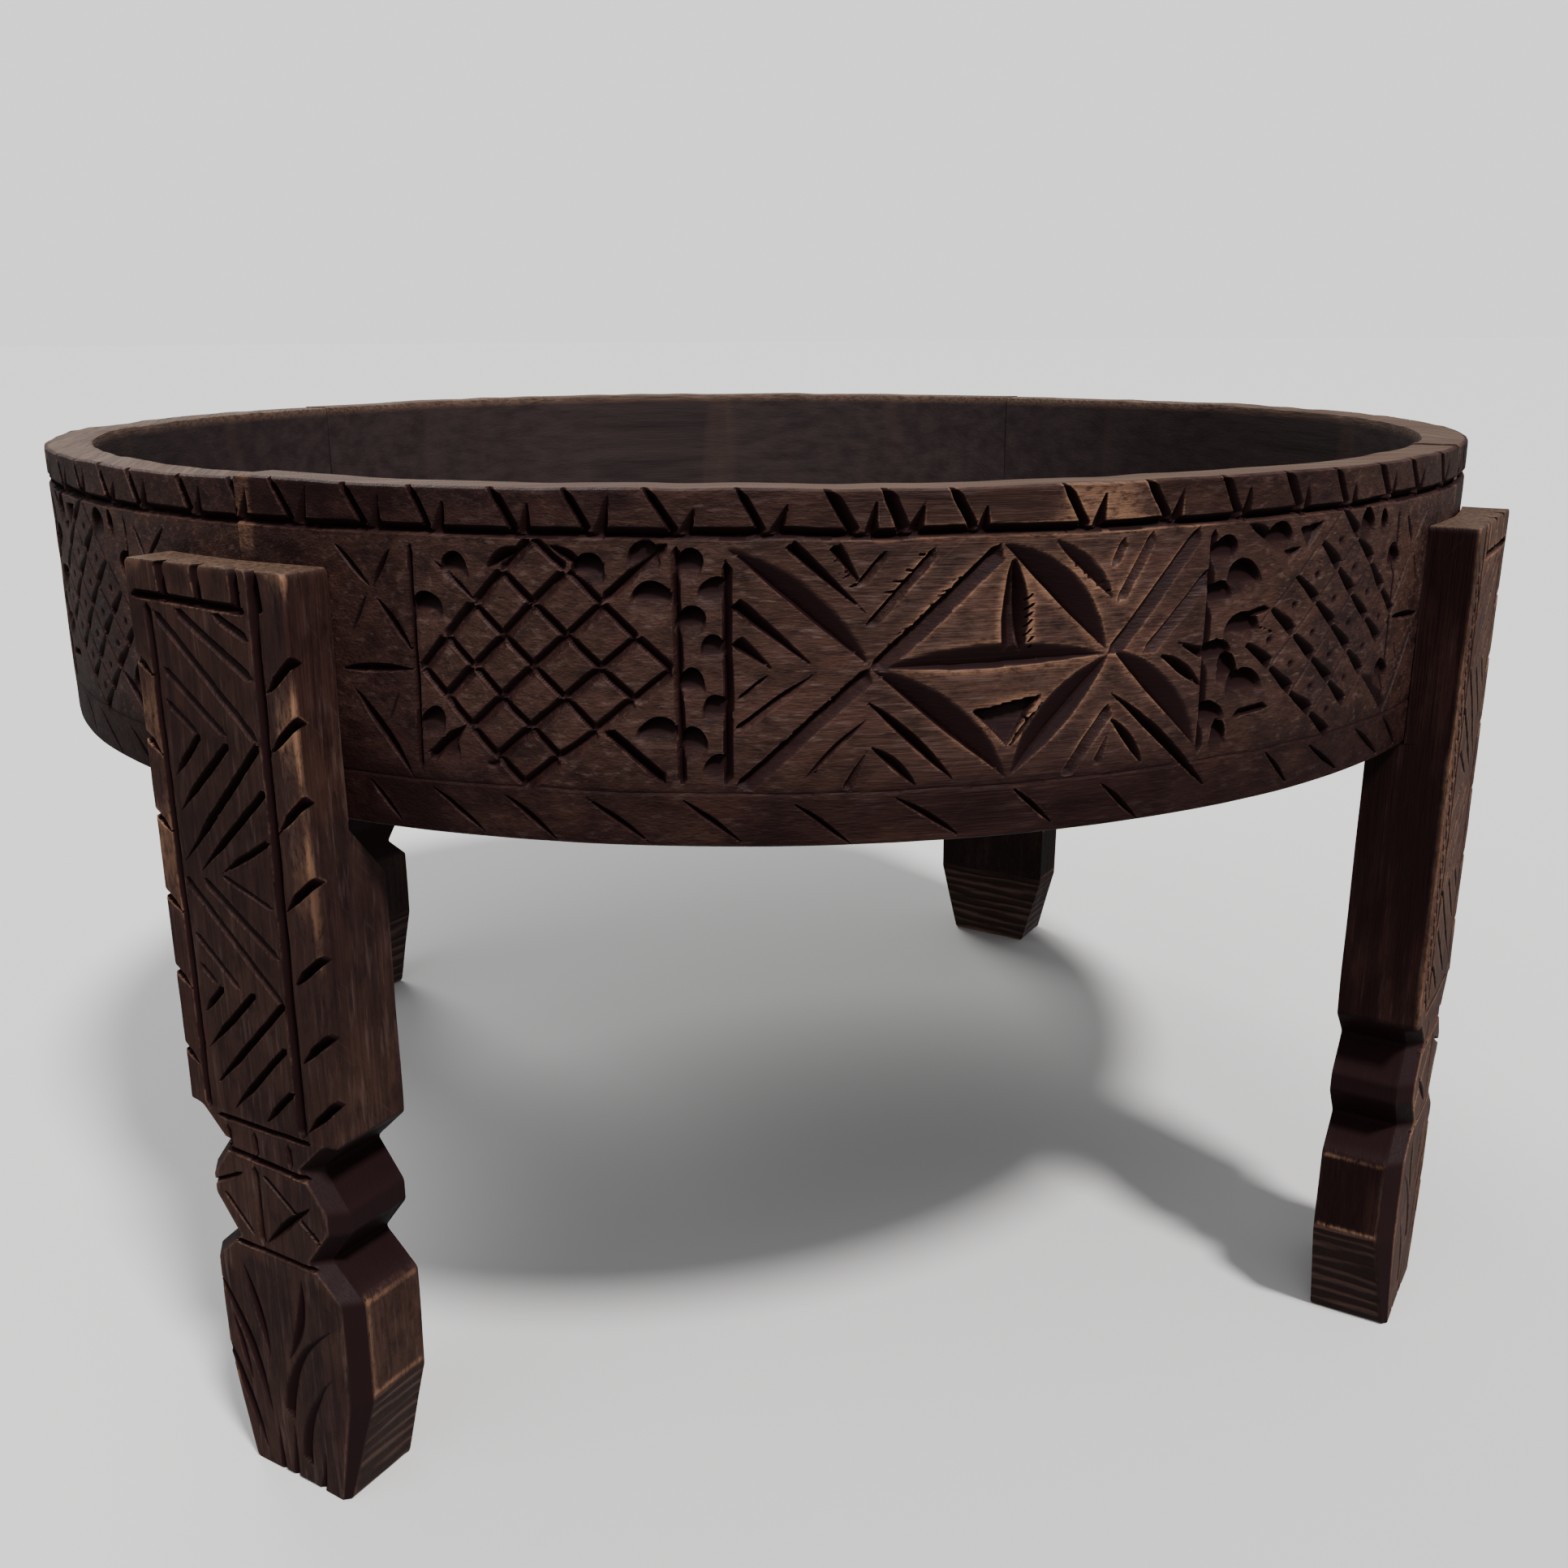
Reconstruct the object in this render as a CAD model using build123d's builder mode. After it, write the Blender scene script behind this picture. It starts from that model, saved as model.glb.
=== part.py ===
from build123d import *

import os
from math import cos, degrees, radians, sin

# A carved round wooden tray on four legs, of the kind made to stand under a hand mill.
#
# The tray is a ring of four curved segments that butt together behind the legs. Each joint has two dowels
# across it, and the leg outside it is screwed to both segments from inside the tray, so the leg splices the
# joint. The floor is five boards held in a groove in the ring and nailed to two battens underneath. Each leg
# is a plank sawn to shape: a straight body, a waist, a bead, a second waist and a foot that tapers to the
# ground.
#
# Millimetres. +Z is up. The origin is on the ground, on the ring's axis. The legs stand on the diagonals.

# Ring
RIM_RADIUS = 350.0
WALL = 21.0
TABLE_HEIGHT = 412.0
RING_HEIGHT = 122.0
TOP_BAND = 16.0  # from the rim down to the groove under the top band
TOP_GROOVE_DEPTH = 3.2
TOP_GROOVE_HALF_WIDTH = 2.4
LOW_BAND = 19.0  # from the ring's bottom edge up to the scored line
LINE_DEPTH = 1.2
LINE_HALF_WIDTH = 1.0
RIM_ROUNDING = 2.0
SEAM_GAP = 0.4

# Floor
BOARD_THICKNESS = 16.0
BOARD_GAP = 0.8
BOARD_SEAMS = (-196.0, -66.0, 64.0, 198.0)  # X of the gaps between the boards
BATTEN_THICKNESS = 14.0
BATTEN_WIDTH = 50.0
BATTEN_OFFSET = 130.0  # either side of the middle
FLOOR_GROOVE_DEPTH = 9.0
EXPANSION_GAP = 1.0  # round the boards in their groove, and at the battens' ends

# Legs
LEG_WIDTH = 83.0
LEG_DEPTH = 36.0
LEG_PROUD = 18.0  # how far a leg's face stands out from the ring
LEG_TOP_DROP = 30.0  # from the rim down to a leg's top
WAIST_WIDTH = 52.0
BEAD_WIDTH = 77.0
TOE_WIDTH = 56.0
CORNER_BEVEL = 4.5
# Heights above the ground
BODY_BOTTOM = 166.0
UPPER_WAIST = 151.0
BEAD_TOP = 135.0
BEAD_BOTTOM = 126.0
LOWER_WAIST = 110.0
FOOT_TOP = 96.0
TAPER_TOP = 50.0

# Fasteners
FIT = 0.05  # radial clearance round dowels, screws and nails
DOWEL_RADIUS = 4.0
DOWEL_LENGTH = 44.0
DOWEL_DROPS = (22.0, 56.0)  # below the rim
SCREW_RADIUS = 2.5
SCREW_HEAD_RADIUS = 5.0
SCREW_HEAD_HEIGHT = 3.0
SCREW_LENGTH = 33.0
SCREW_OFFSET = 20.0  # either side of a leg's centre line
NAIL_RADIUS = 1.5
NAIL_HEAD_RADIUS = 3.6
NAIL_HEAD_HEIGHT = 1.2
NAIL_LENGTH = 28.0
NAIL_STAGGER = (26.0, 10.0)  # of a board's two nails from their middle, along and across the batten
NAIL_MARGIN = 60.0  # how far in from its curved edge an outer board's nailing starts

# Levels and radii that follow
INNER_RADIUS = RIM_RADIUS - WALL
WALL_MIDDLE = RIM_RADIUS - WALL / 2
RING_BOTTOM = TABLE_HEIGHT - RING_HEIGHT
FLOOR_UNDERSIDE = RING_BOTTOM + BATTEN_THICKNESS
FLOOR_TOP = FLOOR_UNDERSIDE + BOARD_THICKNESS
BOARD_RADIUS = INNER_RADIUS + FLOOR_GROOVE_DEPTH - EXPANSION_GAP
LEG_TOP = TABLE_HEIGHT - LEG_TOP_DROP
LEG_FACE_RADIUS = RIM_RADIUS + LEG_PROUD
LEG_INNER_RADIUS = LEG_FACE_RADIUS - LEG_DEPTH
SCREW_LEVELS = (FLOOR_TOP + 20.0, RING_BOTTOM + BATTEN_THICKNESS / 2)
HALF_SEAM_ANGLE = degrees(SEAM_GAP / 2 / WALL_MIDDLE)

# Each corner's angle from +X towards +Y, how much lower its leg's waists and bead sit than their stated
# heights, and the (inset, fall) of the bevel on its leg's shoulder. The front left shoulder is sawn away.
CORNERS = {
    "front_left": (225.0, 0.0, (18.0, 24.0)),
    "front_right": (315.0, 5.0, (6.0, 8.0)),
    "rear_right": (45.0, 3.0, (6.0, 8.0)),
    "rear_left": (135.0, 1.0, (6.0, 8.0)),
}
# Each segment starts at one corner and runs a quarter turn to the next.
SEGMENTS = {"front": "front_left", "right": "front_right", "rear": "rear_right", "left": "rear_left"}


def radial_plane(angle):
    """The upright plane through the ring's axis: X outwards, Y up."""
    a = radians(angle)
    return Plane(origin=(0, 0, 0), x_dir=(cos(a), sin(a), 0), z_dir=(sin(a), -cos(a), 0))


def face_plane(angle, radius):
    """The upright plane facing outwards at that radius: X to the right as seen from outside, Y up."""
    a = radians(angle)
    outward = (cos(a), sin(a), 0)
    return Plane(origin=(radius * cos(a), radius * sin(a), 0), x_dir=(-sin(a), cos(a), 0), z_dir=outward)


def dowel_places():
    """The dowels behind a leg, as (radius, height)."""
    return [(WALL_MIDDLE, TABLE_HEIGHT - drop) for drop in DOWEL_DROPS]


def screw_places():
    """The screws of a leg, as (offset from its centre line, height)."""
    return [(side * SCREW_OFFSET, level) for side in (-1, 1) for level in SCREW_LEVELS]


def nail_places(batten_y):
    """X and Y of the nails along one batten, two in each board."""
    edges = (NAIL_MARGIN - BOARD_RADIUS, *BOARD_SEAMS, BOARD_RADIUS - NAIL_MARGIN)
    middles = [(a + b) / 2 for a, b in zip(edges, edges[1:])]
    along, across = NAIL_STAGGER
    return [(x + side * along, batten_y + side * across) for x in middles for side in (-1, 1)]


def ring_segment(start_angle):
    """A quarter of the ring: a turned section with the floor groove inside and two scored grooves outside."""
    groove = TABLE_HEIGHT - TOP_BAND
    line = RING_BOTTOM + LOW_BAND
    with BuildPart() as segment:
        with BuildSketch(radial_plane(start_angle + HALF_SEAM_ANGLE)):
            with BuildLine():
                Polyline(
                    (INNER_RADIUS, RING_BOTTOM),
                    (RIM_RADIUS - RIM_ROUNDING, RING_BOTTOM),
                    (RIM_RADIUS, RING_BOTTOM + RIM_ROUNDING),
                    (RIM_RADIUS, line - LINE_HALF_WIDTH),
                    (RIM_RADIUS - LINE_DEPTH, line),
                    (RIM_RADIUS, line + LINE_HALF_WIDTH),
                    (RIM_RADIUS, groove - TOP_GROOVE_HALF_WIDTH),
                    (RIM_RADIUS - TOP_GROOVE_DEPTH, groove),
                    (RIM_RADIUS, groove + TOP_GROOVE_HALF_WIDTH),
                    (RIM_RADIUS, TABLE_HEIGHT - RIM_ROUNDING),
                    (RIM_RADIUS - RIM_ROUNDING, TABLE_HEIGHT),
                    (INNER_RADIUS + RIM_ROUNDING, TABLE_HEIGHT),
                    (INNER_RADIUS, TABLE_HEIGHT - RIM_ROUNDING),
                    (INNER_RADIUS, FLOOR_TOP),
                    (INNER_RADIUS + FLOOR_GROOVE_DEPTH, FLOOR_TOP),
                    (INNER_RADIUS + FLOOR_GROOVE_DEPTH, FLOOR_UNDERSIDE),
                    (INNER_RADIUS, FLOOR_UNDERSIDE),
                    close=True,
                )
            make_face()
        revolve(axis=Axis.Z, revolution_arc=90 - 2 * HALF_SEAM_ANGLE)
        for angle in (start_angle, start_angle + 90):
            with BuildSketch(radial_plane(angle)):
                with Locations(*dowel_places()):
                    Circle(DOWEL_RADIUS + FIT)
            extrude(amount=DOWEL_LENGTH / 2 + FIT, both=True, mode=Mode.SUBTRACT)
            with BuildSketch(face_plane(angle, INNER_RADIUS - WALL)):
                with Locations(*screw_places()):
                    Circle(SCREW_RADIUS + FIT)
            extrude(amount=3 * WALL, mode=Mode.SUBTRACT)
            with BuildSketch(face_plane(angle, INNER_RADIUS - WALL)):
                with Locations(*screw_places()):
                    Circle(SCREW_HEAD_RADIUS + FIT)
            extrude(amount=WALL + SCREW_HEAD_HEIGHT, mode=Mode.SUBTRACT)
    return segment


def leg_side(drop):
    """Right-hand side of a leg as (offset from its centre line, height), from the top down."""
    return [
        (LEG_WIDTH / 2, LEG_TOP),
        (LEG_WIDTH / 2, BODY_BOTTOM - drop),
        (WAIST_WIDTH / 2, UPPER_WAIST - drop),
        (BEAD_WIDTH / 2, BEAD_TOP - drop),
        (BEAD_WIDTH / 2, BEAD_BOTTOM - drop),
        (WAIST_WIDTH / 2, LOWER_WAIST - drop),
        (LEG_WIDTH / 2, FOOT_TOP - drop),
        (LEG_WIDTH / 2, TAPER_TOP),
        (TOE_WIDTH / 2, 0.0),
    ]


def plank_leg(angle, drop, shoulder_bevel):
    """A sawn plank, hollowed above its shoulder to sit against the ring."""
    right = leg_side(drop)
    left = [(-x, z) for x, z in reversed(right)]
    inset, fall = shoulder_bevel
    with BuildPart() as leg:
        with BuildSketch(face_plane(angle, LEG_FACE_RADIUS)):
            with BuildLine():
                Polyline(*right, *left, close=True)
            make_face()
        extrude(amount=-LEG_DEPTH)
        # the bead and the foot have bevelled front corners
        outward = Axis((0, 0, 0), face_plane(angle, 0).z_dir)
        front_edges = leg.faces().sort_by(outward)[-1].edges()
        below_body = front_edges.filter_by(lambda edge: 1 < edge.center().Z < BODY_BOTTOM - drop - 1)
        chamfer(below_body, CORNER_BEVEL)
        # the seat of the ring
        with BuildSketch(Plane.XY.offset(RING_BOTTOM)):
            Circle(RIM_RADIUS)
        extrude(amount=RING_HEIGHT, mode=Mode.SUBTRACT)
        # the bevelled shoulder under the ring
        with BuildSketch(radial_plane(angle)):
            with BuildLine():
                Polyline(
                    (LEG_INNER_RADIUS, RING_BOTTOM),
                    (LEG_INNER_RADIUS + inset, RING_BOTTOM),
                    (LEG_INNER_RADIUS, RING_BOTTOM - fall),
                    close=True,
                )
            make_face()
        extrude(amount=LEG_WIDTH, both=True, mode=Mode.SUBTRACT)
        # pilot holes for the screws
        with BuildSketch(face_plane(angle, LEG_INNER_RADIUS)):
            with Locations(*screw_places()):
                Circle(SCREW_RADIUS + FIT)
        extrude(amount=INNER_RADIUS + SCREW_LENGTH + FIT - LEG_INNER_RADIUS, mode=Mode.SUBTRACT)
    return leg


def joint_dowels(angle):
    """The two dowels across the joint behind a leg."""
    with BuildPart() as dowels:
        with BuildSketch(radial_plane(angle)):
            with Locations(*dowel_places()):
                Circle(DOWEL_RADIUS)
        extrude(amount=DOWEL_LENGTH / 2, both=True)
    return dowels


def leg_screws(angle):
    """Four screws, driven from inside the tray through the ring into the leg."""
    head_radius = (INNER_RADIUS**2 - SCREW_OFFSET**2) ** 0.5
    with BuildPart() as screws:
        with BuildSketch(face_plane(angle, head_radius)):
            with Locations(*screw_places()):
                Circle(SCREW_RADIUS)
        extrude(amount=INNER_RADIUS + SCREW_LENGTH - head_radius)
        with BuildSketch(face_plane(angle, head_radius)):
            with Locations(*screw_places()):
                Circle(SCREW_HEAD_RADIUS)
        extrude(amount=INNER_RADIUS + SCREW_HEAD_HEIGHT - head_radius)
    return screws


def floor_board(left, right):
    """One board of the round floor, running front to back."""
    places = [place for y in (-BATTEN_OFFSET, BATTEN_OFFSET) for place in nail_places(y)]
    with BuildPart() as board:
        with BuildSketch(Plane.XY.offset(FLOOR_UNDERSIDE)):
            Circle(BOARD_RADIUS)
            with Locations(((left + right) / 2, 0)):
                Rectangle(right - left, 2 * BOARD_RADIUS, mode=Mode.INTERSECT)
        extrude(amount=BOARD_THICKNESS)
        with BuildSketch(Plane.XY.offset(FLOOR_UNDERSIDE)):
            with Locations(*[place for place in places if left < place[0] < right]):
                Circle(NAIL_RADIUS + FIT)
        extrude(amount=BOARD_THICKNESS, mode=Mode.SUBTRACT)
    return board


def floor_batten(y):
    """A bearer under the boards, with its ends shaped to the ring."""
    with BuildPart() as batten:
        with BuildSketch(Plane.XY.offset(RING_BOTTOM)):
            Circle(INNER_RADIUS - EXPANSION_GAP)
            with Locations((0, y)):
                Rectangle(2 * INNER_RADIUS, BATTEN_WIDTH, mode=Mode.INTERSECT)
        extrude(amount=BATTEN_THICKNESS)
        with BuildSketch(Plane.XY.offset(FLOOR_TOP - NAIL_LENGTH - FIT)):
            with Locations(*nail_places(y)):
                Circle(NAIL_RADIUS + FIT)
        extrude(amount=NAIL_LENGTH, mode=Mode.SUBTRACT)
    return batten


def floor_nails():
    """Two nails through each board into each batten, with their heads on the boards."""
    places = [place for y in (-BATTEN_OFFSET, BATTEN_OFFSET) for place in nail_places(y)]
    with BuildPart() as nails:
        with BuildSketch(Plane.XY.offset(FLOOR_TOP - NAIL_LENGTH)):
            with Locations(*places):
                Circle(NAIL_RADIUS)
        extrude(amount=NAIL_LENGTH)
        with BuildSketch(Plane.XY.offset(FLOOR_TOP)):
            with Locations(*places):
                Circle(NAIL_HEAD_RADIUS)
        extrude(amount=NAIL_HEAD_HEIGHT)
    return nails


def write(piece, name):
    piece.part.label = name
    export_step(piece.part, f"parts/{name}.step")


os.makedirs("parts", exist_ok=True)

for side, corner in SEGMENTS.items():
    write(ring_segment(CORNERS[corner][0]), f"rim_segment_{side}")

for corner, (corner_angle, lower_drop, bevel) in CORNERS.items():
    write(plank_leg(corner_angle, lower_drop, bevel), f"leg_{corner}")
    write(joint_dowels(corner_angle), f"joint_dowels_{corner}")
    write(leg_screws(corner_angle), f"leg_screws_{corner}")

board_edges = (-BOARD_RADIUS, *BOARD_SEAMS, BOARD_RADIUS)
for number, (left_edge, right_edge) in enumerate(zip(board_edges, board_edges[1:]), start=1):
    write(floor_board(left_edge + BOARD_GAP / 2, right_edge - BOARD_GAP / 2), f"floor_board_{number}")

write(floor_batten(-BATTEN_OFFSET), "floor_batten_front")
write(floor_batten(BATTEN_OFFSET), "floor_batten_rear")
write(floor_nails(), "floor_nails")
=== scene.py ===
from math import cos, hypot, pi, radians, sin

import bmesh
import bpy
import numpy as np
from mathutils import Matrix, Vector


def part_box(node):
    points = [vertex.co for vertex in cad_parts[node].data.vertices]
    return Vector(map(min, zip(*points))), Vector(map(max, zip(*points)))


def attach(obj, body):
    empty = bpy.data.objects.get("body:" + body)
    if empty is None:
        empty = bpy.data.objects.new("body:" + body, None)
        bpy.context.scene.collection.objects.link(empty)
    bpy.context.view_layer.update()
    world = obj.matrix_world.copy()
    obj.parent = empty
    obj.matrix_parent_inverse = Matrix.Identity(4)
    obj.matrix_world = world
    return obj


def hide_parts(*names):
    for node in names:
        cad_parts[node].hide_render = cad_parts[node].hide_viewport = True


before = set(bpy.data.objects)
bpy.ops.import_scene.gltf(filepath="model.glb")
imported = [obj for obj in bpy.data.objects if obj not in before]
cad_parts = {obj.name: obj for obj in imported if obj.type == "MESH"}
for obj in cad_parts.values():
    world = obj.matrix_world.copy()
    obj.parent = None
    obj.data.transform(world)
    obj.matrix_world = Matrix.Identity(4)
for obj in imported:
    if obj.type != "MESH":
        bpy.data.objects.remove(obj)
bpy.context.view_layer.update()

# Looks of the carved tray on four legs. Every CAD node that can be seen is rebuilt as carved or worn wood or
# metal in its place. Lengths in the carving are millimetres, and the scene is in metres.
MM = 0.001

# Ring, from the frame
ring_low, ring_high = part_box("rim_segment_front")
RIM_RADIUS = -ring_low.y / MM
RING_TOP = ring_high.z / MM
RING_BOTTOM = ring_low.z / MM
RING_HEIGHT = RING_TOP - RING_BOTTOM
WALL = 21.0
INNER_RADIUS = RIM_RADIUS - WALL
QUARTER = RIM_RADIUS * pi / 2  # along the outside of one segment
SEAM_GAP = 0.4
FLOOR_GROOVE_DEPTH = 9.0
board_low, board_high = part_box("floor_board_3")
FLOOR_TOP = board_high.z / MM
FLOOR_UNDERSIDE = board_low.z / MM

# Legs, from the frame and with the outline of their CAD nodes
LEG_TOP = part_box("leg_front_left")[1].z / MM
LEG_WIDTH = 83.0
LEG_PROUD = 18.0
LEG_DEPTH = 36.0
LEG_FACE = RIM_RADIUS + LEG_PROUD
LEG_BACK = LEG_FACE - LEG_DEPTH
BODY_BOTTOM = 166.0
UPPER_WAIST = 151.0
BEAD_TOP = 135.0
BEAD_BOTTOM = 126.0
LOWER_WAIST = 110.0
FOOT_TOP = 96.0
TAPER_TOP = 50.0
WAIST_HALF = 26.0
BEAD_HALF = 38.5
TOE_HALF = 28.0
CORNER_BEVEL = 6.5  # wider than on the CAD nodes

# Screws and nails, as on their CAD nodes
SCREW_RADIUS = 2.5
SCREW_HEAD_RADIUS = 5.0
SCREW_HEAD_HEIGHT = 3.0
SCREW_LENGTH = 33.0
SCREW_OFFSET = 20.0
SCREW_LEVELS = (FLOOR_TOP + 20.0, (RING_BOTTOM + FLOOR_UNDERSIDE) / 2)
SLOT_DEPTH = 1.1
SLOT_HALF = 0.75
NAIL_RADIUS = 1.5
NAIL_HEAD_RADIUS = 3.6
NAIL_HEAD_HEIGHT = 1.2
NAIL_LENGTH = 28.0
NAIL_ALONG, NAIL_ACROSS = 26.0, 10.0
NAIL_SUNK = 0.5
NAIL_MARGIN = 60.0
BOARD_GAP = 0.8

# Each corner's angle from +X towards +Y, how much lower its leg's waists and bead sit, and the (inset,
# fall) of the bevel on its leg's shoulder
CORNERS = {
    "front_left": (225.0, 0.0, (18.0, 24.0)),
    "front_right": (315.0, 5.0, (6.0, 8.0)),
    "rear_right": (45.0, 3.0, (6.0, 8.0)),
    "rear_left": (135.0, 1.0, (6.0, 8.0)),
}
SEGMENTS = {"front": "front_left", "right": "front_right", "rear": "rear_right", "left": "rear_left"}
# how much darker than the rest the sides of each leg are, from 0 to 1: a darker stain on the front right
# leg, and a painted shadow of the ring on the rear legs
LEG_STAIN_AND_SHADOW = {"front_left": 0.0, "front_right": 1.0, "rear_right": 1.0, "rear_left": 0.8}

# Meshes: their steps, and what else shapes them
RING_STEP = 0.72
LEG_STEP = 0.72
COARSE = 4  # fine columns to one coarse column, on the ring's inside
SHARP_FROM = 34.0  # degrees between two faces
LEG_SHY = 0.4  # how far a leg's sides stay inside its CAD node's
SAW_LINE = 3.0  # how far the saw marks reach above the foot's taper
PLANK_SHY = 0.4  # how far a plank's long edges stay inside the circle
UNCUT = 0.15  # the depth that a face point may have and count as uncut


# --- shapes ---------------------------------------------------------------------------------------


def unit(values):
    """Values held between 0 and 1."""
    return np.clip(values, 0, 1)


def join(*tables, axis=0):
    return np.concatenate(tables, axis)


def flat(*tables):
    """The values of some tables in one row."""
    return join(*(table.ravel() for table in tables))


def rounded_over(edge, radius):
    """How far an arris of that radius has fallen back at some distances from its edge."""
    return radius * (1 - np.sqrt(1 - unit(1 - edge / radius) ** 2))


def lumps(x, y, size, seed):
    """Smooth seeded noise from -1 to 1 over x and y, with lumps about that size."""
    rng = np.random.default_rng(seed)
    table = rng.uniform(-1, 1, (64, 64))
    gx, gy = np.asarray(x) / size, np.asarray(y) / size
    ix, iy = np.floor(gx).astype(int), np.floor(gy).astype(int)
    fx, fy = gx - ix, gy - iy
    fx, fy = fx * fx * (3 - 2 * fx), fy * fy * (3 - 2 * fy)
    x0, x1, y0, y1 = ix % 64, (ix + 1) % 64, iy % 64, (iy + 1) % 64
    low = table[x0, y0] * (1 - fx) + table[x1, y0] * fx
    high = table[x0, y1] * (1 - fx) + table[x1, y1] * fx
    return low * (1 - fy) + high * fy


def waves(x, size, seed):
    """The same along one line."""
    return lumps(x, 0 * x, size, seed)


def blur(grid, reach):
    """The mean of a grid over a square window, that many cells each way."""
    for axis in (0, 1):
        before = np.repeat(np.take(grid, [0], axis), reach + 1, axis)
        after = np.repeat(np.take(grid, [-1], axis), reach, axis)
        total = np.cumsum(join(before, grid, after, axis=axis), axis)
        size = grid.shape[axis]
        upper = np.take(total, np.arange(size) + 2 * reach + 1, axis)
        lower = np.take(total, np.arange(size), axis)
        grid = (upper - lower) / (2 * reach + 1)
    return grid


# How wide a cut is along its length: s runs from 0 at its start to 1 at its end.


def leaf(s, length):
    return np.sin(pi * s) ** 0.75


def even(s, length):
    return unit(np.minimum(s, 1 - s) * length / min(3.0, length / 3))


def full(s, length):
    """At its full width nearly from end to end."""
    return unit(np.minimum(s, 1 - s) * length / 1.2)


def wedge(s, length):
    """Pointed at its start and stopped short at its end."""
    return unit(s / 0.85) ** 0.8 * unit((1 - s) * length / 1.2)


def dart(s, length):
    """Stopped short at its start and pointed at its end."""
    return wedge(1 - s, length)


def flag(s, length):
    """Pointed at its start, and soon at its full width."""
    return unit(s / 0.35) * unit((1 - s) * length / 1.4)


def tread(s, length):
    """Blunt at both ends, and twice as wide at its end as at its start."""
    return unit(0.5 + 0.7 * s) * unit(s * length / 0.8) * unit((1 - s) * length / 0.8)


def quill(s, length):
    """Soon at its full width, and pointed at its end."""
    return flag(1 - s, length)


def drawn(values, lines, reach):
    """Values drawn to whichever line is within reach of them, and that line's number from 1, or 0 for
    none."""
    nearest, number = values, np.zeros(values.shape, int)
    for count, line in enumerate(lines, start=1):
        limit = np.where(number > 0, np.abs(values - nearest), reach)
        closer = np.abs(values - line) < limit
        nearest, number = np.where(closer, line, nearest), np.where(closer, count, number)
    return nearest, number


BROAD = 4.5  # a wall wider than this is a broad one


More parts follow.
